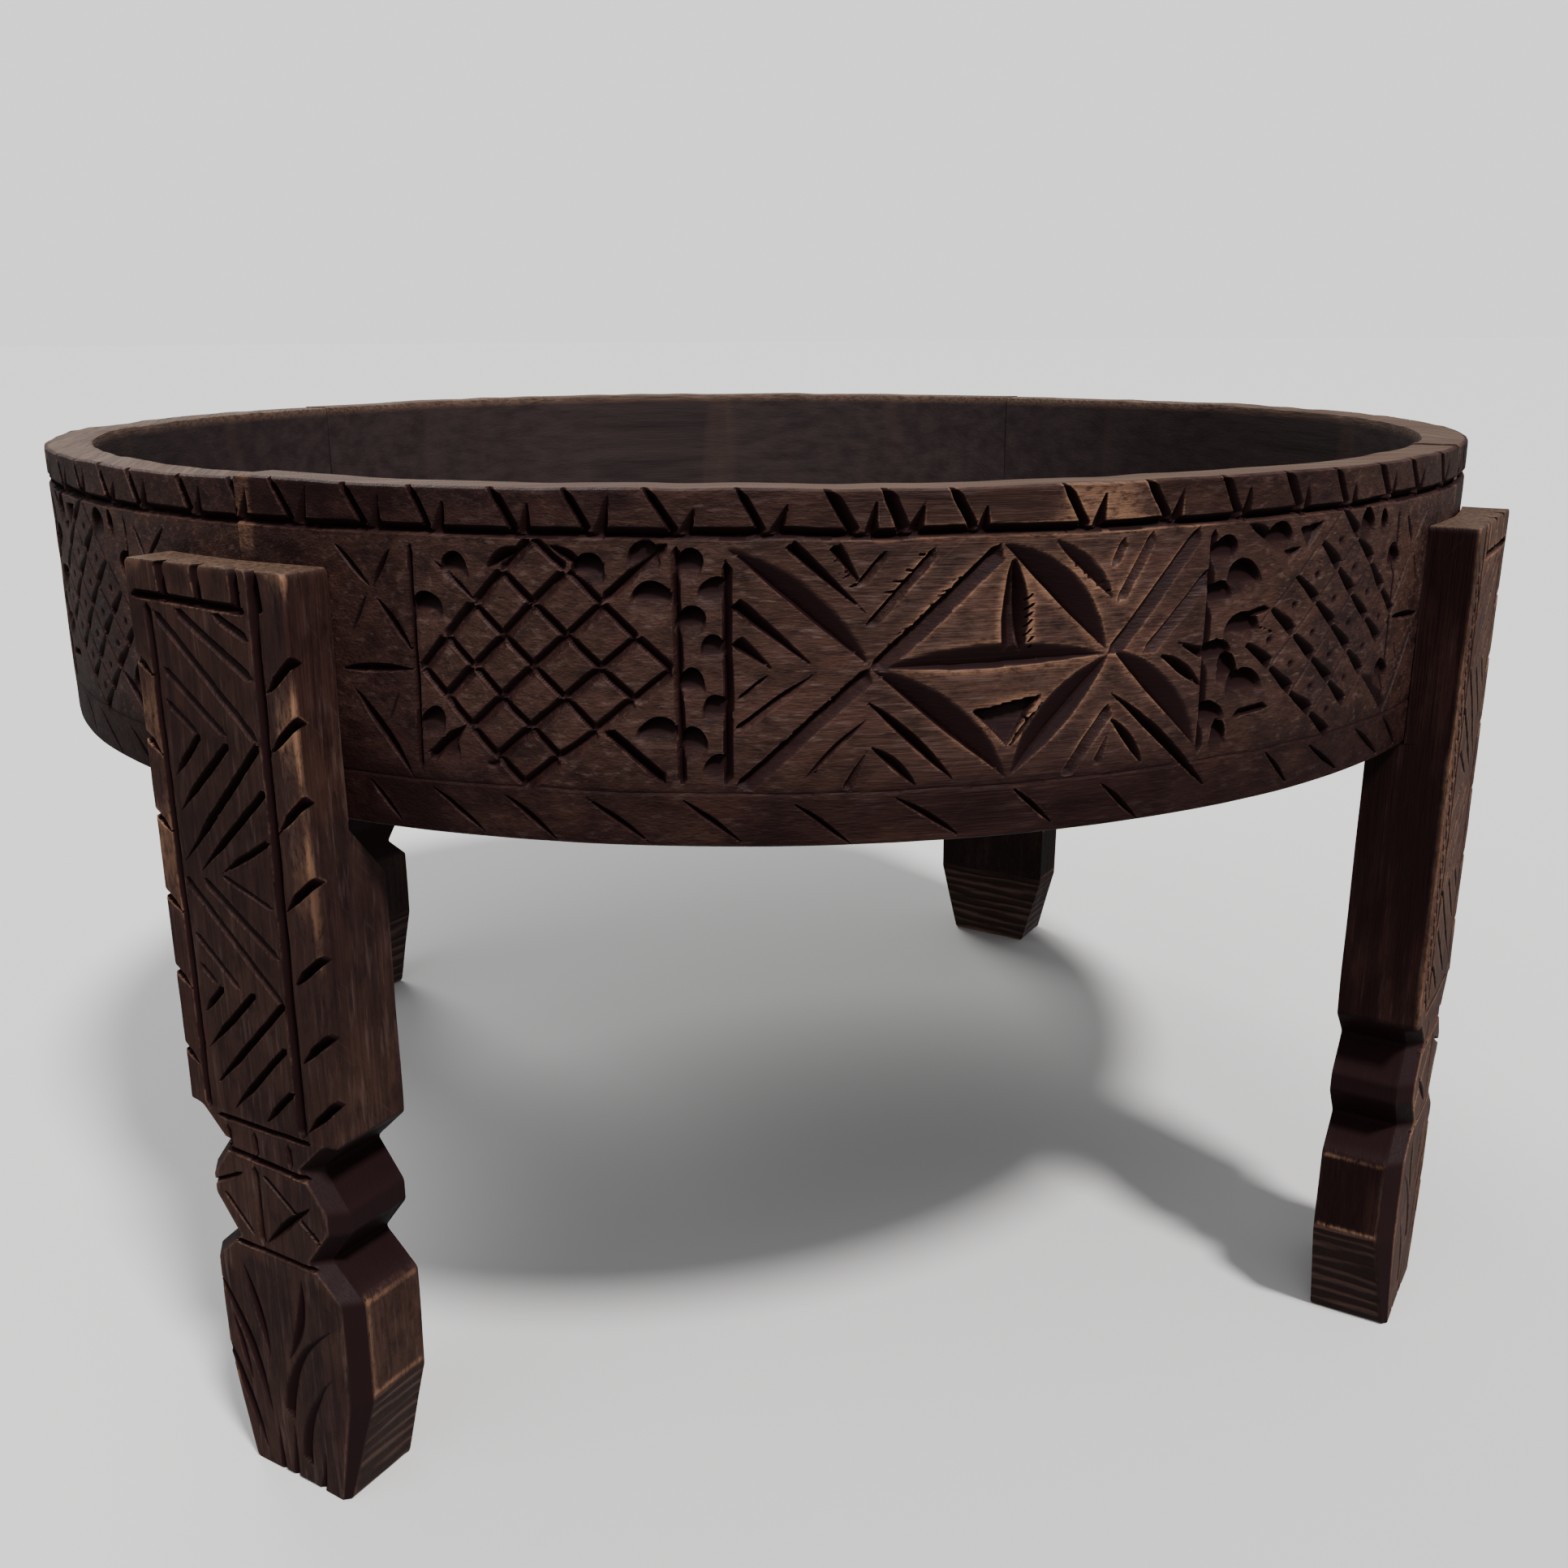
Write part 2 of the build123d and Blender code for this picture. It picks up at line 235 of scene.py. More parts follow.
class Face:
    """A face to carve: a grid of points x across and y down it, in millimetres, and how deep each one is
    cut.

    The points nearest a cut's bottom and borders are shifted onto them, and numbered by crease, so that the
    arrises are crisp."""

    def __init__(self, x, y, step, seed, slip=0.4):
        self.x = x + 0.4 * lumps(x, y, 17, seed) + 0.15 * lumps(x, y, 5, seed + 1)
        self.y = y + 0.4 * lumps(x, y, 17, seed + 2) + 0.15 * lumps(x, y, 5, seed + 3)
        self.depth, self.stain, self.shift_x, self.shift_y = np.zeros((4, *x.shape))
        self.crease = np.zeros(x.shape, int)
        self.cuts = 0
        self.rng = np.random.default_rng(seed + 4)
        self.reach = 0.5 * step
        self.slip = slip

    def moved(self, point):
        """A point as far off its mark as a hand puts it."""
        dx, dy = self.rng.uniform(-self.slip, self.slip, 2)
        return point[0] + dx, point[1] + dy

    def window(self, points, margin):
        """The part of the grid within a margin of some points."""
        xs, ys = [p[0] for p in points], [p[1] for p in points]
        across = (self.x.max(1) > min(xs) - margin) & (self.x.min(1) < max(xs) + margin)
        down = (self.y.max(0) > min(ys) - margin) & (self.y.min(0) < max(ys) + margin)
        i, j = np.flatnonzero(across), np.flatnonzero(down)
        if not i.size or not j.size:
            return slice(0, 0), slice(0, 0)
        return slice(i[0], i[-1] + 1), slice(j[0], j[-1] + 1)

    def cut(self, part, depth, stain, crease, shift_x, shift_y):
        """Lays a cut where it is the deepest so far, and its borders where nothing is cut. The stain value
        is how dark its walls are: stain, and painted shade where they are deep."""
        old = self.depth[part]
        taken = (depth > old) | ((depth <= 0) & (old <= 0) & (crease > 0))
        self.cuts += 1
        laid = (
            (self.crease, np.where(crease > 0, crease + 4 * self.cuts, 0)),
            (self.shift_x, shift_x),
            (self.shift_y, shift_y),
            (self.stain, stain),
            (self.depth, np.maximum(depth, 0)),
        )
        for table, values in laid:
            table[part] = np.where(taken, values, table[part])

    def groove(self, start, end, upper, lower, depth, plan=even, bow=0.0, under=0.12):
        """A V cut with its bottom on the line, and a wall that wide on the line's upper and on its lower
        side. An upright line has its upper side on the right. bow is how far its middle is drawn to its
        upper side, and under is how much of the stain and painted shade its lower wall has, the upper wall
        having all of it. A broad wall is a flat facet, shallow and lightly stained, with painted shade only
        along its bottom."""
        start, end = self.moved(start), self.moved(end)
        broad = max(upper, lower) > BROAD
        if broad:
            depth = min(depth, max(0.36 * upper, 0.55 * lower))
        length = hypot(end[0] - start[0], end[1] - start[1])
        part = self.window((start, end), max(upper, lower) + abs(bow) + 1)
        dx, dy = (end[0] - start[0]) / length, (end[1] - start[1]) / length
        x, y = self.x[part] - start[0], self.y[part] - start[1]
        along = (x * dx + y * dy) / length
        s = unit(along)
        side = 1.0 if dx > 0.02 or (abs(dx) <= 0.02 and dy > 0) else -1.0
        off = side * (x * dy - y * dx) - bow * 4 * s * (1 - s)
        shape = plan(s, length)
        above, below = np.maximum(upper * shape, 1e-6), np.maximum(lower * shape, 1e-6)
        placed, crease = drawn(off, (0, above, -below), self.reach)
        here = (along >= 0) & (along <= 1) & (shape > 0.02)
        slope = np.where(placed > 0, placed / above, -placed / below)
        cut = np.where(here, depth * shape * unit(1 - slope), 0)
        # painted shade: the upper wall takes the whole stain value and darkens to black with depth, and the
        # lower wall only a share, as if lit
        stain = cut * np.where(placed < 0, under, 1.0)
        if broad:
            # a broad facet keeps a capped stain, with painted shade only along its bottom
            most = 0.75 if upper > lower else 0.4
            stain = np.where(np.abs(placed) < 0.8, cut, np.minimum(cut, most))
        shift = np.where(here, (placed - off) * side, 0)
        self.cut(part, cut, stain, np.where(here, crease, 0), shift * dy, -shift * dx)

    def grooves(self, *rows):
        """Grooves cut in turn, each row giving its start's x and y, its end's, and the rest as for a
        groove."""
        for x0, y0, x1, y1, *rest in rows:
            self.groove((x0, y0), (x1, y1), *rest)

    def bite(self, centre, across, tall, depth, lean=0.0):
        """A gouge's bite: steep round the top, with a floor that rises to nothing at the bottom. lean is
        how much deeper its left side is, and that side is the straighter one."""
        centre = self.moved(centre)
        part = self.window((centre,), 1.3 * max(across, tall) + 1)
        x, y = (self.x[part] - centre[0]) / across, (self.y[part] - centre[1]) / tall
        turn = np.arctan2(y, x)
        first, second = self.rng.uniform(0, 2 * pi, 2)
        outline = 1 + 0.09 * np.sin(2 * turn + first) + 0.05 * np.sin(3 * turn + second)
        outline = outline - 1.6 * lean * unit(-np.cos(turn)) + 0.12 * unit(np.sin(turn))
        rho = np.hypot(x, y) / outline
        placed, crease = drawn(rho, (1.0, 0.8), self.reach / min(across, tall))
        crease = np.where(y > 0.25, 0, crease)
        placed = np.where(crease > 0, placed, rho)
        cut = depth * unit((1 - placed) / 0.2) * np.clip(0.5 - 0.62 * y - lean * x, 0, 1.1)
        grow = (placed - rho) / np.maximum(rho, 0.2)
        # painted shade: the steep top of the bite is darkened and its floor is left light, as if lit
        stain = cut * np.clip(0.35 - 1.6 * y, 0.0, 1)
        self.cut(part, cut, stain, crease, grow * x * across, grow * y * tall)

    def chip(self, a, b, c, depth):
        """A three-sided chip, deepest along its first side and rising to nothing at its third corner."""
        a, b, c = self.moved(a), self.moved(b), self.moved(c)
        part = self.window((a, b, c), 1)
        x, y = self.x[part], self.y[part]

        def inside(p, q):
            """How far the points are from a side, positive on the chip's side."""
            turn = (b[0] - a[0]) * (c[1] - a[1]) - (b[1] - a[1]) * (c[0] - a[0])
            area = (q[0] - p[0]) * (y - p[1]) - (q[1] - p[1]) * (x - p[0])
            return area / hypot(q[0] - p[0], q[1] - p[1]) * (1 if turn > 0 else -1)

        base, others = inside(a, b), np.minimum(inside(b, c), inside(c, a))
        reach = hypot(c[0] - (a[0] + b[0]) / 2, c[1] - (a[1] + b[1]) / 2)
        cut = depth * unit(base / 1.2) * unit(others / 1.0) * unit(1.1 - base / reach)
        cut = np.where(np.minimum(base, others) > 0, cut, 0)
        # painted shade: dark along the deep first side, and the facet rising from it left light, as if lit
        stain = np.where(base < 2.2, 0.7 * cut, np.minimum(0.3 * cut, 0.5))
        self.cut(part, cut, stain, np.zeros(x.shape, int), 0 * x, 0 * x)

    def nicks(self, start, end, count, run, width=1.6, depth=1.4):
        """Short rough strokes running off a line."""
        for k in range(count):
            share = (k + self.rng.uniform(0.2, 0.8)) / count
            x, y = (start[0] + (end[0] - start[0]) * share, start[1] + (end[1] - start[1]) * share)
            self.groove((x, y), (x + run[0], y + run[1]), width * 0.6, width * 0.4, depth, dart)

    def dot(self, centre, size=1.1, depth=1.2):
        """A punched dot."""
        centre = self.moved(centre)
        part = self.window((centre,), size + 1)
        away = np.hypot(self.x[part] - centre[0], self.y[part] - centre[1])
        cut = depth * unit(1.3 - away / size)
        # stain and painted shade that grow with the dot's depth
        self.cut(part, cut, cut, np.zeros(cut.shape, int), 0 * cut, 0 * cut)


# --- the ring's carving, with x along the segment from its left corner and y down from the rim ----

TOP_BAND = 16.0
LOW_LINE = RING_HEIGHT - 19.5
PANEL_TOP = 19.5
PANEL_BOTTOM = 101.0
MIDDLE = 60.0
STAR_GROOVE = 75.5  # the line between a star strip and its lattice panel
# where the cuts of the top band start, and the starts and runs of those of the low band
TOP_CUTS = (-34, -9, 17, 48, 76, 105, 130, 158, 189, 216, 236, 258, 298, 329, 361, 394, 424, 453, 481, 517,
            545, 572)
LOW_CUTS = ((51, 15), (77, 21), (105, 20), (134, 23), (167, 22), (206, 20), (241, 24), (283, 16), (317, 17),
            (394, 15), (419, 25), (454, 24), (480, 16))
BOLD_FROM = 190.0  # the cuts of the top band are broader beyond this
GOLDEN = 300.0  # the middle of the stretch with the most wear


def flipped(x):
    return QUARTER - x


def top_band(face):
    """Slanted cuts down from the rim, each with a three-sided notch beside its foot, and level cuts between
    them."""
    reached = -40.0
    for start in TOP_CUTS:
        x = start + face.rng.uniform(-1, 1)
        foot = x + face.rng.uniform(6.5, 10)
        level = TOP_BAND + face.rng.uniform(-0.4, 0.4)
        face.groove((reached - 0.5, level), (foot + 1, level), face.rng.uniform(2.6, 3.6), 1.3, 3.4, full)
        bold = 1.3 if x > BOLD_FROM else 1.0
        face.groove((x - 1.5, -3), (foot, TOP_BAND), bold * face.rng.uniform(2.2, 3.2), 0.9, 3.6, flag)
        reached = foot + face.rng.uniform(3.5, 6)
        peak = reached + face.rng.uniform(0, 3), face.rng.uniform(1.5, 6)
        width = face.rng.uniform(2.8, 4.4)
        face.groove(peak, (reached, TOP_BAND + 0.8), width, bold * 1.6, 3.4, wedge, under=0.8)
    face.groove((-14, TOP_BAND + 0.2), (QUARTER + 14, TOP_BAND + 0.2), 1.6, 1.3, 1.7)


def low_band(face):
    """Pointed slanted cuts under a scored line."""
    face.groove((12, LOW_LINE), (QUARTER - 12, LOW_LINE + 0.5), 0.9, 0.8, 0.4)
    for x, run in LOW_CUTS:
        top = LOW_LINE + face.rng.uniform(0.5, 3)
        face.groove((x, top), (x + run, top + 16.5), face.rng.uniform(1.4, 2.0), 0.8, 2.2, leaf)


def star_strip(face, at):
    """Rays about a middle cut, between a leg and the first upright line."""
    for x0, y0, x1, y1, *rest in (
        (STAR_GROOVE, PANEL_TOP, STAR_GROOVE - 1, 100, 1.4, 1.2, 2.0),
        (43, 65.5, 74, 63.5, 2.4, 1.4, 3.0, leaf),
        (44, 21, 59, 36, 1.6, 1.0, 2.0, leaf), (68, 22, 59.5, 36, 1.4, 1.2, 1.6, leaf),
        (61, 39, 74, 58, 2.2, 1.0, 2.4, leaf), (58, 37, 49, 53, 1.0, 1.0, 1.0, leaf),
        (48, 71, 71.5, 102.5, 3.2, 0.9, 3.0, leaf), (68, 72, 62, 84, 0.8, 0.8, 0.7, leaf),
    ):
        face.groove((at(x0), y0), (at(x1), y1), *rest)


def lattice(face, top, left, right, bottom, broad=None):
    """A diamond of four by four cells, drawn between its corners. With broad as "falling" or "rising", the
    cuts that way are broad and stepped and the others slight, and each cell has a punched dot."""

    def node(i, j):
        """The crossing i steps down to the right and j steps down to the left of the top."""
        s, t = i / 4, j / 4
        mix = ((1 - s) * (1 - t), s * (1 - t), (1 - s) * t, s * t)
        return tuple(sum(m * p[k] for m, p in zip(mix, (top, right, left, bottom))) for k in (0, 1))

    for line in range(5):
        for step in range(4):
            falling = node(step, line), node(step + 1, line)
            rising = node(line, step), node(line, step + 1)
            if broad:
                stepped, slight = (falling, rising) if broad == "falling" else (rising, falling)
                face.groove(*stepped, face.rng.uniform(3.8, 4.4), 0.9, 3.4, tread)
                face.groove(*slight, 0.9, 0.8, 0.5)
            else:
                face.groove(*falling, face.rng.uniform(2.2, 2.8), 1.3, 2.4, full)
                face.groove(*rising, face.rng.uniform(1.8, 2.4), 3.2, 2.3, full, 0.0, 0.05)
            if broad and line < 4:
                face.dot(node(step + 0.5, line + 0.5), 1.4)


def left_scallops(face):
    """Bites set alternately along two upright grooves."""
    face.grooves(
        (168, PANEL_TOP - 1, 168.5, PANEL_BOTTOM, 1.8, 1.8, 2.6),
        (184.5, PANEL_TOP + 4, 184, PANEL_BOTTOM - 1, 2.6, 1.2, 3.0),
    )
    for y, across in ((26, 6.0), (44.5, 6.4), (65, 5.6), (86.5, 6.4)):
        face.bite((172.0, y), across, 6.4, 4.6, 0.16)
    for y, across in ((34.5, 4.6), (54.5, 4.2), (75, 5.0), (95, 4.8)):
        face.bite((180.8, y), across, 6.0, 3.0, -0.12)


def right_scallops(face):
    face.groove((359.5, PANEL_TOP - 1), (360, PANEL_BOTTOM), 2.0, 1.6, 2.4)
    for x, y, across in ((365, 28, 7), (364.5, 43, 6.4), (365, 64, 6.8), (364, 87, 6.6), (368.5, 96, 5)):
        face.bite((x, y), across, 7.0, 4.4, 0.1)
    for x, y, across in ((377, 38, 8.5), (378, 56, 8), (380, 77, 8), (371, 72, 5)):
        face.bite((x, y), across, 7.2, 4.2, -0.1)
    face.grooves(
        (375.5, 88.5, 394, 86.5, 2.8, 0.6, 2.6), (376, 52, 392, 50.5, 2.4, 0.8, 2.6),
    )
    face.nicks((376, 53), (392, 58), 4, (5, 2))


def left_lattice(face):
    lattice(face, (120, 17), (76.5, 63), (166, 60.5), (113, 102))
    face.grooves(
        (94, 81, 78, 95, 2.4, 2.6, 3.0, flag), (84, 25, 99, 39, 1.4, 1.0, 1.8, leaf),
        (142, 81, 163, 100, 3.4, 1.0, 3.6), (166, 18, 143, 38, 2.2, 2.4, 2.8),
    )
    for x, y, across, depth in (
        (92, 28, 5, 4.6), (81, 41.5, 5.4, 4.8), (139, 27.5, 6, 4.6), (160, 36, 7, 4.2), (80.5, 82, 5, 4.0),
        (161, 82, 7, 4.2), (158, 23.5, 6, 3.4), (86, 92, 4, 2.0),
    ):
        face.bite((x, y), across, 6.0, depth)
    face.grooves(
        (117, 19.5, 103, 27.5, 3.4, 1.2, 3.6, leaf), (126, 19, 138, 27, 3.0, 1.0, 3.2, leaf),
    )
    face.chip((99, 95), (106, 92.5), (103, 98), 1.8)


def right_lattice(face, broad):
    lattice(face, (430, 17), (379, 62), (476, 62), (432, 104), broad)
    face.grooves(
        (454, 82, 479, 102, 5.0, 0.8, 3.2, flag), (376, 18, 392, 27, 3.4, 1.0, 3.2, leaf),
    )
    for x, y, across in ((394, 25, 7), (448, 25, 6), (461.5, 25, 3), (472, 40, 6), (472, 86, 6)):
        face.bite((x, y), across, 7.0, 4.0)
    face.chip((404, 21), (419, 19.5), (410, 30), 3.0)
    face.chip((395, 29), (407, 28), (401, 33), 2.4)


def crossed_panel(face):
    """Two crosses with a diamond between them, and chevrons in each cross's other three openings."""
    left, right = (232, MIDDLE), (318, MIDDLE - 0.5)
    # the left cross
    face.grooves(
        (184.5, 19.5, *left, 8.0, 0.8, 4.2, leaf), (*left, 187, 101, 1.6, 4.8, 3.0),
        (*left, 276, 19.5, 1.6, 5.2, 3.2), (*left, 281, 101, 9.5, 0.8, 4.6, leaf),
        # its chevrons: left, top and bottom
        (186, 38.5, 215, 60.5, 4.2, 0.9, 3.4, dart), (215, 61, 187, 80, 1.0, 2.6, 2.2, flag),
        (186, 51.5, 200.5, 60, 4.4, 0.9, 3.4, dart), (200, 60.5, 187, 70, 0.8, 1.8, 1.6, flag),
    )
    face.nicks((229, 62.5), (200, 89), 13, (-4.4, 1.2), 1.7, 1.5)
    face.grooves(
        (204, 19.5, 231, 42, 3.8, 0.9, 3.6, dart), (254, 20, 230, 46, 1.0, 3.0, 2.4),
        (219, 19.5, 229.5, 33, 3.6, 0.9, 3.2, dart),
    )
    face.nicks((222, 22), (230, 34), 4, (-4, 1), 1.6, 1.6)
    face.groove((237, 20), (227.5, 33), 1.0, 2.6, 2.0, even)
    face.nicks((266, 29), (240, 53), 8, (-4.6, 0.8), 1.6, 1.3)
    face.nicks((252, 22), (240, 36), 4, (-6, -0.3), 1.5, 1.3)
    face.grooves(
        (229.5, 71, 262, 100.5, 3.2, 0.9, 3.2, leaf), (232, 77, 210, 98, 1.4, 1.2, 1.6, leaf),
    )
    face.nicks((220, 88), (211, 97), 4, (3, -1), 1.2, 1.0)
    face.grooves(
        (232, 87, 249, 102, 3.0, 0.9, 2.8, leaf), (232, 87, 223.5, 102, 1.0, 3.0, 1.8, wedge),
        # the diamond: a level leaf, an upright spindle over it and a chip under it
        (233, MIDDLE, 317, MIDDLE - 1, 7.2, 1.8, 4.2, leaf), (280, 24, 278.5, 58.5, 2.2, 6.4, 4.2, leaf),
        (281, 24, 285, 58.5, 4.4, 2.8, 4.2, leaf),
    )
    face.nicks((289, 36), (289.5, 56), 7, (-4.5, 4), 1.3, 3.6)
    face.chip((267.5, 75.5), (293.5, 71.5), (281, 90), 4.6)
    face.nicks((272, 78), (286, 78), 5, (5, 3), 1.6, 3.6)
    face.grooves(
        (293.5, 74, 281, 91, 0.8, 1.6, 2.2, leaf),
        # the right cross
        (276.5, 19.5, 317.5, 58, 10.5, 0.9, 4.8, leaf), (*right, 353, 18, 1.4, 4.6, 3.0),
        (332, 60, 360, 32, 1.2, 4.2, 2.2), (282.5, 100, *right, 8.2, 4.0, 4.2, leaf),
        (319, 58, 358, 97, 9.0, 0.9, 4.4, leaf), (319.5, 72.5, 365, 114, 3.4, 0.9, 3.6, leaf),
        # its chevrons: top, bottom and right
        (295, 18.5, 318.5, 40.5, 5.2, 0.9, 3.8, leaf),
    )
    face.nicks((301, 26), (317, 40), 5, (4, -1), 1.4, 2.6)
    face.grooves(
        (334, 18, 320.5, 42, 1.0, 3.2, 2.4), (322.5, 19, 317, 30, 0.9, 2.8, 2.2),
        (319, 77, 301.5, 102, 0.9, 3.8, 2.4), (319.5, 81.5, 334.5, 101, 3.2, 0.9, 3.0, leaf),
        (320, 87, 314, 99, 1.0, 3.0, 2.2, wedge), (338.5, 61, 359, 75.5, 3.6, 0.9, 3.4, leaf),
        (346, 57, 359, 64, 3.6, 0.9, 3.0, wedge),
    )


def carved_ring_face(face, broad):
    top_band(face)
    low_band(face)
    star_strip(face, lambda x: x)
    star_strip(face, flipped)
    left_lattice(face)
    right_lattice(face, broad)
    left_scallops(face)
    right_scallops(face)
    crossed_panel(face)


# --- the legs' carving, with x across from the centre line and y down from the top ----------------


def carved_leg_face(face, drop, turned, fretted):
    """A framed body with zigzags, a bead with a star and a foot with leaves. turned swaps left and right."""
    side = -1.0 if turned else 1.0

    def cut(*rows, down=0.0):
        """Grooves between places given by their heights above the ground, as on the front left leg."""
        for x0, z0, x1, z1, *rest in rows:
            face.groove((side * x0, LEG_TOP - z0 + down), (side * x1, LEG_TOP - z1 + down), *rest)

    # the frame: a band with slots along the top, a groove down each side, a notched strip outside each
    # groove
    cut((-39, 368, 22, 367.5, 2.8, 1.2, 3.2))
    for x, width in ((-23.5, 3.0), (-4.5, 2.6), (15, 3.4), (24, 4.4)):
        cut((x, 385, x + 2, 367, width, 2.2, 4.4, full, 0.0, 0.8))
    cut((-30.5, 367, -30, 164, 2.2, 2.0, 3.0, even, 0.0, 0.7))
    cut((25.5, 384, 22.8, 165, 3.0, 2.6, 3.8, even, 0.0, 0.6))
    for z in (340, 311, 280, 248, 216, 183):
        cut((-47, z + 9, -31, z - 2, 2.6, 1.0, 4.0, quill))
    # the right leg's face is fretted to its edge, and the others' have notches down it
    if fretted:
        for z in range(172, 360, 11):
            cut((40, z + 14, 27, z - 9, 2.4, 2.0, 2.2, leaf), (40, z - 6, 28, z + 8, 1.6, 1.4, 1.6, leaf))
    else:
        for z in (345, 324, 295, 265, 235, 204, 176):
            cut((47, z + 11, 26.5, z - 7, 2.6, 1.2, 4.2, quill))
    # the zigzags: nested strokes that turn at the right, the left and the right again, and the band under
    # them
    cut(
        (-27.5, 364, 21, 321, 1.6, 2.6, 2.4), (-16, 366, 22.5, 343.5, 1.8, 2.8, 2.4),
        (4, 366, 22.5, 357, 2.0, 2.0, 2.2), (-26.5, 343.5, 5, 321, 1.4, 2.4, 2.0),
        (-26.5, 331, -10, 320, 1.3, 2.2, 1.8), (21, 320, -27.5, 267.5, 2.2, 1.6, 3.2, quill),
        (22.5, 303.5, -19, 265, 2.0, 1.5, 3.0, quill), (5, 318.5, -26.5, 287.5, 2.2, 1.5, 3.0, quill),
        (-10, 320, -26.5, 302, 2.0, 1.3, 2.8, quill), (21, 284, -6.5, 266.5, 2.0, 1.2, 2.4, quill),
        (21, 258.5, -6.5, 266.5, 1.2, 1.4, 1.4), (-27.5, 262.5, 21, 220, 1.6, 2.6, 2.2),
        (-16.5, 263.5, 21, 238.5, 1.6, 2.6, 2.2), (-26.5, 240, -2.5, 221, 1.4, 2.2, 2.0),
        (-26, 228, -16, 220, 1.3, 2.0, 1.8), (21, 220, -26.5, 172.5, 2.0, 1.5, 3.0, quill),
        (5, 221, -26, 191, 2.0, 1.5, 3.0, quill), (-13, 220, -26.5, 206, 2.0, 1.3, 2.6, quill),
        (20, 202, -16.5, 166, 2.0, 1.4, 2.8, quill), (21, 183.5, 2.5, 166, 2.0, 1.3, 2.8, quill),
        (-26, 163, 28, 163, 2.0, 0.9, 2.4),
    )
    # the waist's strokes, the bead's star and the line under it
    cut(
        *((x, 161, x, 149, 1.8, 1.8, 2.2) for x in (-20, -5, 14)), (-24, 149, 24, 147.5, 2.2, 1.2, 3.0),
        (-6.5, 146, -6.5, 109, 2.0, 2.2, 2.8), (-37, 128, -14, 140, 1.2, 1.4, 1.8),
        (-28, 128, -10, 112, 1.6, 1.0, 1.8), (-3, 143, 28, 120, 1.8, 1.0, 1.8),
        (24, 136, -4, 111, 2.4, 2.0, 2.8, leaf), (-24, 107, 24, 107, 1.8, 1.2, 2.6), down=drop,
    )
    # the foot's leaves, fanning from the toe
    for row in (
        (-39, 90, -12.5, 26, 3.4, 2.6, 2.4, leaf, 4.0), (-21, 98, -10.5, 54, 3.2, 2.0, 2.0, leaf, 1.0),
        (13, 101, 1, 58, 2.2, 3.2, 2.0, leaf, -2.5), (31, 84, -1, 30, 4.2, 2.6, 2.5, wedge, 7.5),
        (28, 60, 7, 10, 4.0, 2.6, 2.4, wedge, 5.0), (-38.5, 60, -18, 6, 3.2, 2.4, 2.2, leaf, 1.0),
        (-31, 70, -22, 38, 2.2, 1.8, 1.8, leaf, 0.0), (-10, 26, -10, -2, 2.0, 2.0, 2.0, wedge, 0.0),
        (0, 30, -2, -2, 2.0, 1.8, 2.0, wedge, 0.0), (18, 22, 13, -2, 2.0, 1.8, 1.8, wedge, 0.0),
    ):
        cut((*row, 0.85))


# --- meshes ---------------------------------------------------------------------------------------


def placed(name, data):
    """A new object in the scene."""
    thing = bpy.data.objects.new(name, data)
    bpy.context.scene.collection.objects.link(thing)
    return thing


def new_piece(name, points, faces, material, replaced, slot, **layers):
    """A closed mesh from points in millimetres, riding on the root in place of its CAD node. layers are the
    values that its material reads, one or three to a point."""
    mesh = bpy.data.meshes.new(name)
    mesh.from_pydata((points * MM).tolist(), [], faces)
    for layer, values in layers.items():
        kind, field = ("FLOAT", "value") if values.size == len(points) else ("FLOAT_VECTOR", "vector")
        mesh.attributes.new(layer, kind, "POINT").data.foreach_set(field, flat(values.astype(np.float32)))
    shell = bmesh.new()
    shell.from_mesh(mesh)
    bmesh.ops.recalc_face_normals(shell, faces=shell.faces)
    shell.to_mesh(mesh)
    shell.free()
    mesh.shade_smooth()
    mesh.set_sharp_from_angle(angle=radians(SHARP_FROM))
    mesh.materials.append(material)
    piece = placed(name, mesh)
    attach(piece, "root")
    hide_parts(replaced)


def grid_faces(index, crease=None):
    """Quads over a two-dimensional table of point numbers. With creases, triangles that keep to them."""
    a, b, c, d = index[:-1, :-1], index[1:, :-1], index[1:, 1:], index[:-1, 1:]
    if crease is None:
        return np.stack([a, b, c, d], -1).reshape(-1, 4).tolist()
    other = (crease[1:, :-1] == crease[:-1, 1:]) & (crease[1:, :-1] > 0)
    first = np.where(other[..., None], np.stack([a, b, d], -1), np.stack([a, b, c], -1))
    second = np.where(other[..., None], np.stack([b, c, d], -1), np.stack([a, c, d], -1))
    return first.reshape(-1, 3).tolist() + second.reshape(-1, 3).tolist()


def wear_of(depth, step):
    """Four tables from 0 to 1: how sharp an arris each point is on, how far it is on a rubbed face among
    cuts, how dark it is in and beside a cut, with stain pooled there and painted crease shade, and how near
    it is to one on the face."""
    cut = np.minimum(depth, 1.5) / 1.5
    near, close, wide = (blur(cut, max(1, round(reach / step))) for reach in (1.6, 3.2, 7))
    arris = unit((blur(np.minimum(depth, 2.4), 1) - depth) * 1.5)
    rubbed = unit(1.9 * wide - 1.1 * near) * (depth < UNCUT)
    return arris, rubbed, unit(1.5 * near), unit(2.2 * close) * (depth < UNCUT)


